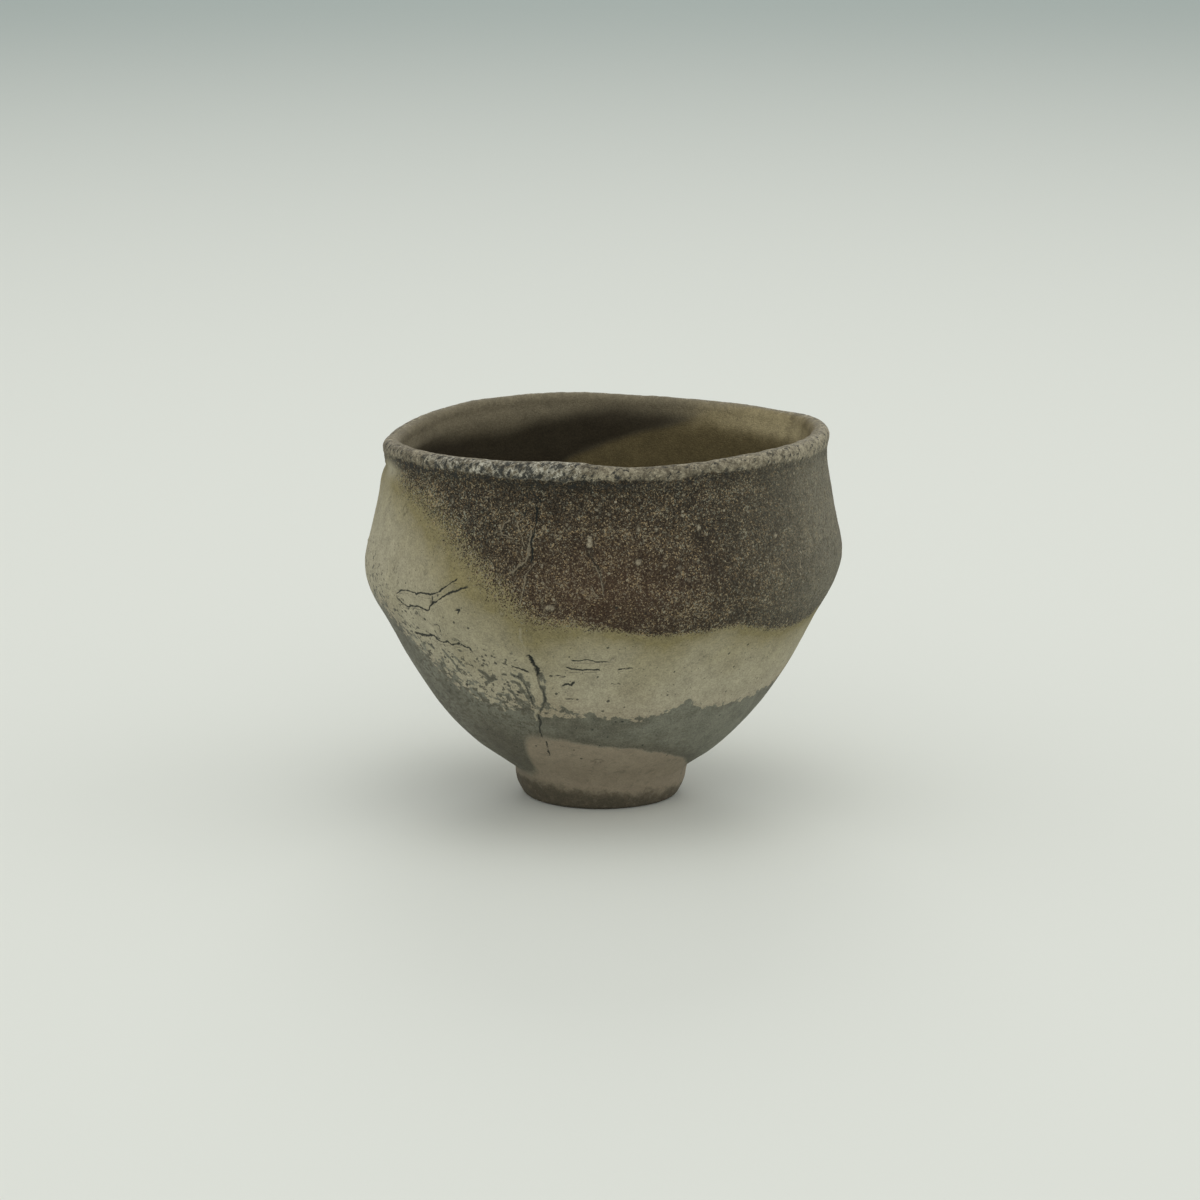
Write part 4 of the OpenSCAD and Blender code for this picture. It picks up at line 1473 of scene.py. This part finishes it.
class NodeSheet:
    """Adds nodes to one material and joins them, with sizes in millimetres."""

    def __init__(self, name: str) -> None:
        """Makes an empty material.

        Args:
            name: The material's name.
        """
        self.material = bpy.data.materials.new(name)
        self.material.use_nodes = True
        self.tree = self.material.node_tree
        self.tree.nodes.clear()
        self.place = Value(self, self.new("ShaderNodeTexCoord").outputs["Object"])

    def new(self, kind: str, **values: object) -> bpy.types.Node:
        """Adds a node and sets its own properties.

        Args:
            kind: The node's type.
            **values: Its properties by name.

        Returns:
            The node.
        """
        node = self.tree.nodes.new(kind)
        for name, value in values.items():
            setattr(node, name, value)
        return node

    def put(self, socket: bpy.types.NodeSocket, value: Value | Colour | float) -> None:
        """Links a socket to a value of the nodes, or sets it to a plain one.

        Args:
            socket: The socket.
            value: What it gets.
        """
        if isinstance(value, Value):
            self.tree.links.new(value.socket, socket)
        elif socket.type == "RGBA":
            socket.default_value = (*value, 1.0)
        else:
            socket.default_value = value

    def fill(
        self, node: bpy.types.Node, values: dict[str | int, Value | Colour | float], result: str | int = 0
    ) -> Value:
        """Fills a node's inputs.

        Args:
            node: The node.
            values: What each input gets, by its name or number.
            result: Name or number of the output asked for.

        Returns:
            The output.
        """
        for name, value in values.items():
            self.put(node.inputs[name], value)
        return Value(self, node.outputs[result])

    def mark(self, name: str) -> Value:
        """A mark of the skin."""
        return Value(self, self.new("ShaderNodeAttribute", attribute_name=name).outputs["Fac"])

    def math(self, kind: str, *values: Value | float, clamp: bool = False) -> Value:
        """Result of one sum."""
        return self.fill(self.new("ShaderNodeMath", operation=kind, use_clamp=clamp), dict(enumerate(values)))

    def mix(
        self, share: Value | float, below: Value | Colour, over: Value | Colour, kind: str = "MIX"
    ) -> Value:
        """One colour laid over another.

        Args:
            share: How much of it is laid on.
            below: The colour below.
            over: The colour laid over it.
            kind: Blender's way of mixing.

        Returns:
            The mixed colour.
        """
        node = self.new("ShaderNodeMix", data_type="RGBA", blend_type=kind, clamp_factor=True)
        share_in, below_in, over_in, colour_out = 0, 6, 7, 2
        return self.fill(node, {share_in: share, below_in: below, over_in: over}, colour_out)

    def drawn_out(self, way: Way, times: float) -> Value:
        """Places squeezed along a direction, so that a texture on them is drawn out that way.

        Args:
            way: The direction.
            times: How many times the texture is drawn out.

        Returns:
            The squeezed places.
        """
        along = self.new("ShaderNodeVectorMath", operation="DOT_PRODUCT")
        length = self.fill(along, {0: self.place, 1: way}, "Value")
        part = self.new("ShaderNodeVectorMath", operation="SCALE")
        shift = self.fill(part, {0: way, "Scale": length * (1.0 - 1.0 / times)})
        left = self.new("ShaderNodeVectorMath", operation="SUBTRACT")
        return self.fill(left, {0: self.place, 1: shift})

    def noise(self, texture: Texture) -> Value:
        """Soft noise between 0 and 1.

        Args:
            texture: Its sizes.

        Returns:
            The noise.
        """
        place = self.place if texture.way is None else self.drawn_out(texture.way, texture.drawn)
        values = {"Vector": place, "W": texture.shift, "Scale": 1.0 / (texture.size * MM)}
        values |= {"Detail": texture.layers, "Roughness": texture.rough}
        return self.fill(self.new("ShaderNodeTexNoise", noise_dimensions="4D"), values, "Fac")

    def cells(self, size: float) -> tuple[Value, Value, Value, Value]:
        """Grains packed side by side.

        Args:
            size: Size of one grain in millimetres.

        Returns:
            Distance from each grain's middle, and three random shares of each grain.
        """
        node = self.new("ShaderNodeTexVoronoi", voronoi_dimensions="3D", feature="F1")
        distance = self.fill(node, {"Vector": self.place, "Scale": 1.0 / (size * MM)}, "Distance")
        split = self.new("ShaderNodeSeparateColor")
        first = self.fill(split, {0: Value(self, node.outputs["Color"])})
        return (distance, first, Value(self, split.outputs[1]), Value(self, split.outputs[2]))

    def ramp(self, share: Value, stops: Stops) -> Value:
        """Colour along a ramp.

        Args:
            share: Place on the ramp.
            stops: Place and colour of each stop.

        Returns:
            The colour.
        """
        node = self.new("ShaderNodeValToRGB")
        elements = node.color_ramp.elements
        while len(elements) < len(stops):
            elements.new(1.0)
        for element, (place, colour) in zip(elements, stops):
            element.position = place
            element.color = (*colour, 1.0)
        return self.fill(node, {0: share})

    def bump(self, height: Value, depth: float, below: Value | None = None) -> Value:
        """Normal tilted by a height.

        Args:
            height: The height, between 0 and 1.
            depth: Its full depth in millimetres.
            below: Normal of the bump that this one lies on.

        Returns:
            The normal.
        """
        values = {"Distance": depth * MM, "Height": height}
        if below is not None:
            values["Normal"] = below
        return self.fill(self.new("ShaderNodeBump"), values)

    def surface(self, values: dict[str, Value | Colour | float]) -> bpy.types.Material:
        """Closes the material with its shader.

        Args:
            values: What each input of the shader gets.

        Returns:
            The material.
        """
        shader = self.fill(self.new("ShaderNodeBsdfPrincipled"), values)
        self.put(self.new("ShaderNodeOutputMaterial").inputs["Surface"], shader)
        return self.material


@dataclass(frozen=True)
class Texture:
    """Soft noise: its blotches' size in millimetres, how fine and rough it is, and how it is drawn out."""

    size: float
    layers: float
    rough: float
    shift: float = 0.0
    way: Way | None = None
    drawn: float = 1.0


class ClaySheet(NodeSheet):
    """Nodes of one clay with its shared grains and blotches. Blotch, small, cloud and folds lie about 0."""

    GRAIN = 0.2
    FINE_GRAIN = 0.13
    SAND = 0.85
    BLOTCH = Texture(2.6, 3.0, 0.55)
    SMALL = Texture(0.8, 4.0, 0.65, 6.0)
    CLOUD = Texture(9.0, 2.0, 0.5, 3.0)
    FOLDS = Texture(0.9, 4.0, 0.62, 31.0, (0.0, 0.0, 1.0), 2.6)
    GRAIN_LIFE = 0.24
    BLOTCH_LIFE = 0.5
    SMALL_LIFE = 0.35

    def __init__(self, name: str) -> None:
        """Makes the material with its textures.

        Args:
            name: The material's name.
        """
        super().__init__(name)
        self.far, self.pick, self.shade, self.odd = self.cells(self.GRAIN)
        _, self.fine_pick, self.fine_shade, _ = self.cells(self.FINE_GRAIN)
        self.sand_far, self.sand_pick, self.sand_shade, _ = self.cells(self.SAND)
        waves = (self.BLOTCH, self.SMALL, self.CLOUD, self.FOLDS)
        self.blotch, self.small, self.cloud, self.folds = (self.noise(wave) - HALF for wave in waves)
        self.colour: Value | Colour = (0.0, 0.0, 0.0)
        self.smoke: Value | float = 0.0

    def lay(self, share: Value | float, over: Value | Colour) -> None:
        """Lays a colour over the clay's by a share."""
        self.colour = self.mix(share, self.colour, over)

    def lively(self, colour: Value, strength: float) -> Value:
        """Colour that varies from grain to grain and from blotch to blotch.

        Args:
            colour: The even colour.
            strength: How much it varies.

        Returns:
            The varied colour.
        """
        grey = (self.shade - HALF) * (self.GRAIN_LIFE * strength) + 1.0
        grey = grey + self.blotch * (self.BLOTCH_LIFE * strength) + self.small * (self.SMALL_LIFE * strength)
        node = self.new("ShaderNodeCombineColor")
        return self.mix(1.0, colour, self.fill(node, {0: grey, 1: grey, 2: grey}), "MULTIPLY")


@dataclass(frozen=True)
class PaleClay:
    """Pale clay, with an olive tint towards the scorch, a pinker one low down and tiny dark pinholes."""

    colour: Colour = (0.385, 0.355, 0.255)
    pink: Colour = (0.37, 0.325, 0.24)
    olive: Colour = (0.23, 0.199, 0.1)
    hole: Colour = (0.092, 0.088, 0.064)
    pink_per_mm: float = 0.07
    pink_cloud: Edges = (-0.4, 0.2)
    olive_level: float = 1.05
    olive_blotch: float = 0.9
    olive_cloud: Edges = (-0.05, 0.25)
    olive_cloud_share: float = 0.3
    hole_size: Edges = (0.08, 0.17)
    hole_pick: Edges = (0.42, 0.5)
    hole_share: float = 0.75
    life: float = 1.35

    def lay(self, s: ClaySheet) -> None:
        """Starts the clay's colour.

        Args:
            s: The material's nodes.
        """
        pink = (s.mark("smoke_in") * self.pink_per_mm + s.cloud).step(self.pink_cloud)
        olive = (s.mark("olive") * (s.blotch * self.olive_blotch + self.olive_level)).held()
        olive = (olive + s.cloud.step(self.olive_cloud) * self.olive_cloud_share).held()
        s.colour = s.mix(olive, s.mix(pink, self.colour, self.pink), self.olive)
        hole = s.sand_far.fall(self.hole_size) * s.sand_pick.step(self.hole_pick)
        s.lay(hole * self.hole_share, self.hole)
        s.colour = s.lively(s.colour, self.life)


@dataclass(frozen=True)
class SmokedClay:
    """Smoke-grey band, ragged and branching above, and the bare taupe clay below it."""

    light: Colour = (0.175, 0.179, 0.139)
    dark: Colour = (0.092, 0.088, 0.064)
    taupe: Colour = (0.288, 0.243, 0.176)
    feather: Texture = Texture(1.25, 6.0, 0.7, 9.0, (-0.75, 0.43, 0.5), 1.6)
    feather_level: float = 0.47
    rarer_above: float = 0.095
    fuller_below: float = 0.25
    feather_edge: Edges = (-0.012, 0.02)
    feather_end: Edges = (1.8, 2.6)
    stroke_break: float = 1.8
    stroke_edge: Edges = (0.2, 0.36)
    stroke_ink: Edges = (0.0, 0.3)
    dot: Texture = Texture(0.8, 4.0, 0.6, 17.0)
    dot_level: float = 0.537
    dot_rarer_above: float = 0.018
    dot_edge: Edges = (0.0, 0.03)
    dot_ragged: Edges = (2.4, 3.6)
    dot_end: Edges = (2.2, 3.0)
    foot_blotch: float = 1.4
    foot_small: float = 0.9
    foot_soft: float = 0.1
    foot_soft_ragged: float = 0.25
    deep_edge: Edges = (0.3, 3.0)
    deep_share: float = 0.85
    soot_small: float = 1.2
    streak: Texture = Texture(2.2, 4.0, 0.6, 21.0, (1.0, 0.0, 0.0), 3.0)
    streak_edge: Edges = (0.4, 0.6)
    streak_share: float = 0.7
    grime: Texture = Texture(1.3, 4.0, 0.65, 23.0)
    grime_edge: Edges = (0.52, 0.68)
    grime_share: float = 0.3
    taupe_edge: Edges = (-0.4, 0.4)
    share: float = 0.93
    life: float = 1.7
    taupe_life: float = 0.75

    def lay(self, s: ClaySheet) -> None:
        """Lays the band and the bare clay over the pale clay.

        Args:
            s: The material's nodes.
        """
        ragged, stroke = s.mark("ragged"), s.mark("stroke")
        # Height above the band's upper edge, in times of that edge's raggedness
        above = s.mark("smoke_in") * -1.0 / ragged
        feather = s.noise(self.feather)
        rare = above.most(0.0) * self.rarer_above + above.least(0.0) * self.fuller_below + self.feather_level
        spread = (feather - rare).step(self.feather_edge) * above.fall(self.feather_end)
        broken = stroke - (feather - HALF) * self.stroke_break
        spread = spread.most(broken.fall(self.stroke_edge))
        dots = s.noise(self.dot) - (above * self.dot_rarer_above + self.dot_level)
        dots = dots.step(self.dot_edge) * ragged.step(self.dot_ragged) * above.fall(self.dot_end)
        # Height above the band's lower edge
        rise = s.mark("smoke_foot") + s.blotch * self.foot_blotch + s.small * self.foot_small
        soft = ragged * self.foot_soft_ragged + self.foot_soft
        deep = (rise.fall(self.deep_edge) * self.deep_share).most(broken.fall(self.stroke_ink).most(dots))
        deep = deep.most(s.mark("sooty") + s.small * self.soot_small)
        streaks = (s.cloud + HALF + s.noise(self.streak)) * HALF
        deep = deep.most(streaks.step(self.streak_edge) * self.streak_share)
        grey = s.lively(s.mix(deep, self.light, self.dark), self.life)
        grime = s.noise(self.grime).step(self.grime_edge)
        taupe = s.lively(s.mix(grime * self.grime_share, self.taupe, self.dark), self.taupe_life)
        s.lay(rise.fall(self.taupe_edge), taupe)
        s.smoke = spread.most(dots) * rise.step((soft * -1.0, soft))
        s.lay(s.smoke * self.share, grey)


@dataclass(frozen=True)
class ScorchedClay:
    """Scorched clay, which comes grain by grain, with pale sand in it and dust with a painted sheen on its
    right.
    """

    stops: Stops = (
        (0.0, (0.007, 0.006, 0.0035)),
        (0.25, (0.019, 0.0155, 0.0095)),
        (0.5, (0.048, 0.039, 0.025)),
        (0.75, (0.107, 0.0885, 0.0565)),
        (1.0, (0.3, 0.27, 0.18)),
    )
    warm: Colour = (0.13, 0.072, 0.04)
    dust_and_sheen: Colour = (0.27, 0.255, 0.19)
    chalk: Colour = (0.4, 0.36, 0.26)
    rusty: Colour = (1.18, 0.98, 0.78)
    greyish: Colour = (0.8, 0.95, 1.12)
    times: float = 1.2
    pick: float = 0.35
    fine_pick: float = 0.6
    pick_blotch: float = 0.2
    burnt_edge: Edges = (-0.06, 0.08)
    tone_shade: float = 0.7
    tone_fine: float = 0.65
    tone_level: float = 0.5
    tone_uneven: float = 0.75
    tone_folds: float = 1.3
    thin_scorch: Edges = (0.3, 1.0)
    thin_tone: float = 0.2
    tone_cloud: float = 0.7
    warm_tone: float = 0.05
    contrast: float = 0.85
    warm_contrast: float = 0.55
    warm_share: float = 0.15
    warm_odd: float = 0.33
    dust_and_sheen_share: float = 0.25
    dust_and_sheen_pick: float = 0.5
    sand_size: Edges = (0.16, 0.3)
    sand_pick: Edges = (0.82, 0.86)
    sand_share: float = 0.75

    def lay(self, s: ClaySheet) -> None:
        """Lays the scorch over the clay.

        Args:
            s: The material's nodes.
        """
        scorch, warm, dusted_and_sheened = s.mark("scorch"), s.mark("warm"), s.mark("dust_and_sheen")
        pick = s.pick * self.pick + s.fine_pick * self.fine_pick + (s.blotch + HALF) * self.pick_blotch
        burnt = (scorch * self.times - pick).step(self.burnt_edge) * s.mark("inside").fall(OVER_LIP)
        tone = (s.shade - HALF) * self.tone_shade + (s.fine_shade - HALF) * self.tone_fine + self.tone_level
        tone = tone + (s.blotch + s.small) * self.tone_uneven + s.folds * dusted_and_sheened * self.tone_folds
        tone = tone + scorch.fall(self.thin_scorch) * self.thin_tone + s.cloud * self.tone_cloud
        tone = tone - warm * self.warm_tone
        tone = (tone - HALF) * (warm * self.warm_contrast + self.contrast) + HALF
        dark = s.mix(1.0, s.ramp(tone, self.stops), s.mix(s.odd, self.rusty, self.greyish), "MULTIPLY")
        dark = s.mix(warm * (s.odd * self.warm_odd + self.warm_share), dark, self.warm)
        # Greyish dust, partly a painted sheen, on the right side
        dark = s.mix(dusted_and_sheened * (s.pick * self.dust_and_sheen_pick + self.dust_and_sheen_share), dark, self.dust_and_sheen)
        sand = s.sand_far.fall(self.sand_size) * s.sand_pick.step(self.sand_pick)
        dark = s.mix(sand * s.sand_shade * self.sand_share, dark, self.chalk)
        s.lay(burnt, dark)


@dataclass(frozen=True)
class BowlClay:
    """Softer, browner clay inside the bowl, in brown, khaki, olive and dark zones."""

    brown: Colour = (0.172, 0.149, 0.097)
    dark: Colour = (0.042, 0.034, 0.02)
    olive: Colour = (0.39, 0.332, 0.19)
    khaki: Colour = (0.16, 0.129, 0.062)
    pool: Colour = (0.2, 0.18, 0.115)
    small: float = 0.6
    blotch: float = 0.9
    cloud: float = 1.1
    khaki_uneven: float = 0.5
    mild: float = 0.4
    khaki_edge: Edges = (0.25, 0.75)
    olive_edge: Edges = (0.05, 0.95)
    dark_edge: Edges = (0.0, 0.9)
    pool_edge: Edges = (0.3, 0.75)
    life: float = 1.4

    def lay(self, s: ClaySheet) -> None:
        """Changes the clay to the bowl's past the lip.

        Args:
            s: The material's nodes.
        """
        uneven = s.small * self.small + s.blotch * self.blotch + s.cloud * self.cloud
        zones = (
            ("khaki", self.khaki_uneven, self.khaki_edge, self.khaki),
            ("olive_in", self.mild, self.olive_edge, self.olive),
            ("dark_in", self.mild, self.dark_edge, self.dark),
            ("pool", 1.0, self.pool_edge, self.pool),
        )
        inner: Value | Colour = self.brown
        for mark, strength, edges, zone in zones:
            inner = s.mix((s.mark(mark) + uneven * strength).step(edges), inner, zone)
        s.lay(s.mark("inside").step(OVER_LIP), s.lively(inner, self.life))


@dataclass(frozen=True)
class LipClay:
    """Ash on the lip's edge, partly a painted highlight on its top, with a chalky crust at the front left and
    dark specks.
    """

    ash: Colour = (0.152, 0.132, 0.09)
    grey: Colour = (0.37, 0.334, 0.24)
    white: Colour = (0.58, 0.56, 0.465)
    speck: Colour = (0.022, 0.025, 0.024)
    strip: Colour = (0.385, 0.355, 0.255)
    fleck: Texture = Texture(0.8, 5.0, 0.8, 5.0)
    fleck_dust_and_sheen: float = 0.08
    worn_edge: Edges = (0.42, 0.62)
    blotch: float = 1.3
    small: float = 2.0
    edge: Edges = (0.2, 0.8)
    own_edge: Edges = (0.0, 0.12)
    share: float = 0.92
    shadow: Texture = Texture(0.62, 4.0, 0.74, 12.0, (0.7, 0.2, 0.7), 1.9)
    shadow_under: float = 0.06
    shadow_white: float = 0.045
    speck_edge: Edges = (0.54, 0.6)
    speck_share: float = 0.88
    life: float = 1.9

    def lay(self, s: ClaySheet) -> None:
        """Lays the ash and the specks over the clay.

        Args:
            s: The material's nodes.
        """
        mark, white, under = s.mark("lip_ash_and_highlight"), s.mark("lip_white"), s.mark("under_lip")
        worn = (s.noise(self.fleck) + s.mark("dust_and_sheen") * self.fleck_dust_and_sheen).step(self.worn_edge)
        ash = s.lively(s.mix(worn, self.ash, s.mix(white, self.grey, self.white)), self.life)
        # The ash-pale edge, partly a painted highlight on the lip's top
        lip = (mark + s.blotch * self.blotch + s.small * self.small).step(self.edge)
        lip = lip * mark.step(self.own_edge)
        s.lay(lip * self.share, ash)
        shadow = s.noise(self.shadow) + under * self.shadow_under + white * self.shadow_white
        speck = shadow.step(self.speck_edge) * lip.most(under)
        s.lay(speck * self.speck_share, self.speck)
        s.lay(s.mark("strip"), self.strip)


@dataclass(frozen=True)
class FootClay:
    """Dark, slightly rusty edge of the foot, and the painted shade under the lip."""

    dark: Colour = (0.066, 0.058, 0.039)
    rust: Colour = (0.135, 0.11, 0.075)
    # Colour of the painted shade under the lip
    painted_lip_shade: Colour = (0.03, 0.026, 0.018)
    rust_spot: Texture = Texture(1.4, 3.0, 0.6, 14.0)
    rust_small: float = 0.4
    rust_edge: Edges = (0.52, 0.66)
    rust_share: float = 0.6
    blotch: float = 1.1
    small: float = 1.3
    edge: Edges = (0.1, 0.9)
    own_edge: Edges = (0.0, 0.15)
    lip_shade_level: float = 0.9
    lip_shade_blotch: float = 0.6
    share: float = 0.88
    life: float = 1.6

    def lay(self, s: ClaySheet) -> None:
        """Lays the dark edge and the soot over the clay.

        Args:
            s: The material's nodes.
        """
        mark = s.mark("foot_dark")
        rust = (s.noise(self.rust_spot) + s.small * self.rust_small).step(self.rust_edge)
        foot = s.lively(s.mix(rust * self.rust_share, self.dark, self.rust), self.life)
        low = (mark + s.blotch * self.blotch + s.small * self.small).step(self.edge)
        s.lay(low * mark.step(self.own_edge) * self.share, foot)
        # Painted shade under the lip
        painted_lip_shade = (s.mark("painted_lip_shade") * (s.blotch * self.lip_shade_blotch + self.lip_shade_level)).held()
        s.lay(painted_lip_shade * self.share, self.painted_lip_shade)


@dataclass(frozen=True)
class MarkedClay:
    """Chalky stones with painted shade round them, pits, ridges with painted shade beside them, and dark
    cracks, which lie over all.
    """

    chalk: Colour = (0.4, 0.36, 0.26)
    crack: Colour = (0.014, 0.018, 0.017)
    pale_ridge: Colour = (0.385, 0.355, 0.255)
    dark_ridge: Colour = (0.23, 0.2, 0.14)
    shadow: Colour = (0.03, 0.026, 0.018)
    chip: Texture = Texture(0.45, 3.0, 0.7, 8.0)
    chip_edge: Edges = (0.36, 0.55)
    chip_share: float = 0.75
    unchipped: float = 0.25
    pit_edge: Edges = (0.7, 1.2)
    pit_share: float = 0.75
    rim_share: float = 0.5
    rough: Texture = Texture(0.42, 3.0, 0.7, 2.0)
    rough_times: float = 2.3
    crest_edge: Edges = (0.5, 1.1)
    crest_share: float = 0.75
    flank_place: float = 1.8
    flank_edge: Edges = (0.2, 0.9)
    flank_share: float = 0.7
    crack_edge: Edges = (0.55, 1.15)
    crack_share: float = 0.92

    def lay(self, s: ClaySheet) -> None:
        """Lays the marks over the clay.

        Args:
            s: The material's nodes.
        """
        chipped = s.noise(self.chip).step(self.chip_edge) * self.chip_share + self.unchipped
        s.lay(s.mark("chalk") * chipped, self.chalk)
        s.lay(s.mark("pit").fall(self.pit_edge) * self.pit_share, self.crack)
        # Painted shade in the moat round each stone
        s.lay(s.mark("rim") * self.rim_share, self.shadow)
        rough, scorch = (s.noise(self.rough) - HALF) * self.rough_times, s.mark("scorch")
        raised = s.mix(scorch, self.pale_ridge, self.dark_ridge)
        for layer in RIDGE_LAYERS:
            side, shown = s.mark(f"crack_{layer}") + rough, s.mark(f"open_{layer}")
            crest = abs(side).fall(self.crest_edge) * shown
            s.lay(crest * self.crest_share, raised)
            # Painted shade along one side of each ridge, in the scorched clay
            flank = abs(side - self.flank_place).fall(self.flank_edge) * shown * scorch
            s.lay(flank * self.flank_share, self.shadow)
        for layer in CRACK_LAYERS:
            away = abs(s.mark(f"crack_{layer}")) + rough
            line = away.fall(self.crack_edge) * s.mark(f"open_{layer}")
            s.lay(line * self.crack_share, self.crack)


@dataclass(frozen=True)
class ClayFinish:
    """Unglazed wood-fired stoneware: its layers from the pale clay up, its sheen and its fine relief."""

    clay: Clay
    pale: PaleClay = PaleClay()
    smoked: SmokedClay = SmokedClay()
    scorched: ScorchedClay = ScorchedClay()
    bowl: BowlClay = BowlClay()
    lip: LipClay = LipClay()
    foot: FootClay = FootClay()
    marked: MarkedClay = MarkedClay()
    roughness: float = 0.82
    smoke_sheen: float = 0.14
    uneven_sheen: float = 0.12
    specular: float = 0.25
    smooth_grain: float = 0.25
    grain_depth: float = 0.11
    skin: Texture = Texture(0.22, 3.0, 0.6, 4.0)
    skin_depth: float = 0.05
    fold_depth: float = 0.35

    def dress(self) -> bpy.types.Material:
        """Builds the material.

        Returns:
            The material.
        """
        s = ClaySheet(self.clay.value)
        for layer in (self.pale, self.smoked, self.scorched, self.bowl, self.lip, self.foot, self.marked):
            layer.lay(s)
        rough = self.roughness - s.smoke * self.smoke_sheen + (s.fine_shade - HALF) * self.uneven_sheen
        coarse = s.mark("scorch").most(s.mark("lip_ash_and_highlight")) * (1.0 - self.smooth_grain) + self.smooth_grain
        normal = s.bump((1.0 - s.far) * coarse, self.grain_depth)
        normal = s.bump(s.noise(self.skin), self.skin_depth, normal)
        normal = s.bump((s.folds + HALF) * s.mark("dust_and_sheen"), self.fold_depth, normal)
        values = {"Base Color": s.colour, "Roughness": rough, "Normal": normal}
        return s.surface({**values, "Specular IOR Level": self.specular})


@dataclass(frozen=True)
class Lamp:
    """A large round lamp: its name, power in watts, width and place in metres."""

    name: str
    power: float
    size: float
    place: Way


@dataclass
class Studio:
    """Pale floor, soft light from above and a camera at the photograph's viewing angle, in metres."""

    floor_radius: float = 8.0
    floor_sides: int = 96
    # The floor darkens away from the cup: a painted fall-off of the light
    floor_near: Colour = (0.74, 0.765, 0.72)
    floor_far: Colour = (0.315, 0.365, 0.35)
    near_radius: float = 0.1
    far_radius: float = 2.1
    floor_roughness: float = 0.9
    floor_specular: float = 0.05
    world: Colour = (0.96, 0.96, 0.93)
    world_strength: float = 0.74
    lamps: tuple[Lamp, ...] = (
        Lamp("back_light", 24.0, 1.6, (0.0, 3.2, 1.6)),
        Lamp("top_light", 1.8, 1.0, (0.0, 0.0, 1.2)),
        Lamp("front_light", 2.6, 1.2, (0.0, -1.4, 0.9)),
        Lamp("right_light", 1.0, 1.0, (1.2, 0.0, 0.9)),
    )
    camera_place: Way = (-0.000505, -0.6, 0.1552)
    camera_pitch: float = 11.88
    view_angle: float = 16.43
    clip: Edges = (0.01, 50.0)

    def build_floor(self) -> bpy.types.Object:
        """Makes the round floor, its colour darkening away from the cup as a painted fall-off of the light.

        Returns:
            The floor's object.
        """
        ring = [2.0 * math.pi * k / self.floor_sides for k in range(self.floor_sides)]
        points = [(self.floor_radius * math.cos(a), self.floor_radius * math.sin(a), 0.0) for a in ring]
        mesh = bpy.data.meshes.new("floor")
        mesh.from_pydata(points, [], [list(range(self.floor_sides))])
        floor = bpy.data.objects.new("floor", mesh)
        bpy.context.scene.collection.objects.link(floor)
        s = NodeSheet("studio_floor")
        away = s.fill(s.new("ShaderNodeVectorMath", operation="LENGTH"), {0: s.place}, "Value")
        colour = s.mix(away.step((self.near_radius, self.far_radius)), self.floor_near, self.floor_far)
        values = {"Base Color": colour, "Roughness": self.floor_roughness}
        mesh.materials.append(s.surface({**values, "Specular IOR Level": self.floor_specular}))
        return floor

    def light(self) -> None:
        """Sets the world's even light and the large soft lamps, which look at the cup."""
        world = bpy.data.worlds.new("studio_world")
        world.use_nodes = True
        background = world.node_tree.nodes["Background"]
        background.inputs["Color"].default_value = (*self.world, 1.0)
        background.inputs["Strength"].default_value = self.world_strength
        bpy.context.scene.world = world
        for lamp in self.lamps:
            data = bpy.data.lights.new(lamp.name, "AREA")
            data.shape = "DISK"
            data.size = lamp.size
            data.energy = lamp.power
            holder = bpy.data.objects.new(lamp.name, data)
            holder.location = lamp.place
            holder.rotation_euler = Vector(lamp.place).to_track_quat("Z", "Y").to_euler()
            bpy.context.scene.collection.objects.link(holder)

    def set_camera(self) -> None:
        """Sets the camera as the photograph was taken."""
        camera = bpy.data.cameras.new("camera")
        camera.lens = camera.sensor_width / 2.0 / math.tan(math.radians(self.view_angle) / 2.0)
        camera.clip_start, camera.clip_end = self.clip
        holder = bpy.data.objects.new("camera", camera)
        holder.location = self.camera_place
        holder.rotation_euler = (math.pi / 2.0 - math.radians(self.camera_pitch), 0.0, 0.0)
        bpy.context.scene.collection.objects.link(holder)
        bpy.context.scene.camera = holder


@dataclass
class Guinomi:
    """The whole cup: its form, kiln marks, relief and clay pieces."""

    form: CupForm = field(default_factory=CupForm)
    marks: KilnMarks = field(default_factory=KilnMarks)
    relief: Relief = field(default_factory=Relief)

    def build(self) -> list[bpy.types.Object]:
        """Builds and dresses every clay piece on the frame.

        Returns:
            The pieces.
        """
        skin = Skin(self.form)
        self.marks.draw(skin)
        self.relief.work(skin)
        finishes = {clay: ClayFinish(clay).dress() for clay in Clay}
        pieces = []
        for name, runs, clay in PIECES:
            piece = ClayPiece(name, runs, clay).build(skin)
            piece.data.materials.append(finishes[clay])
            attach(piece, BODY)
            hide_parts(name)
            pieces.append(piece)
        return pieces


def main() -> None:
    """Builds the studio and the cup."""
    logging.basicConfig(level=logging.INFO, format="%(name)s: %(message)s")
    bpy.context.scene.view_settings.view_transform = "Standard"
    studio = Studio()
    studio.set_camera()
    studio.light()
    LOG.info("camera and %d lamps", len(studio.lamps))
    for piece in (studio.build_floor(), *Guinomi().build()):
        mesh = piece.data
        LOG.info("%s: %d points, %d faces", piece.name, len(mesh.vertices), len(mesh.polygons))


if __name__ == "__main__":
    main()
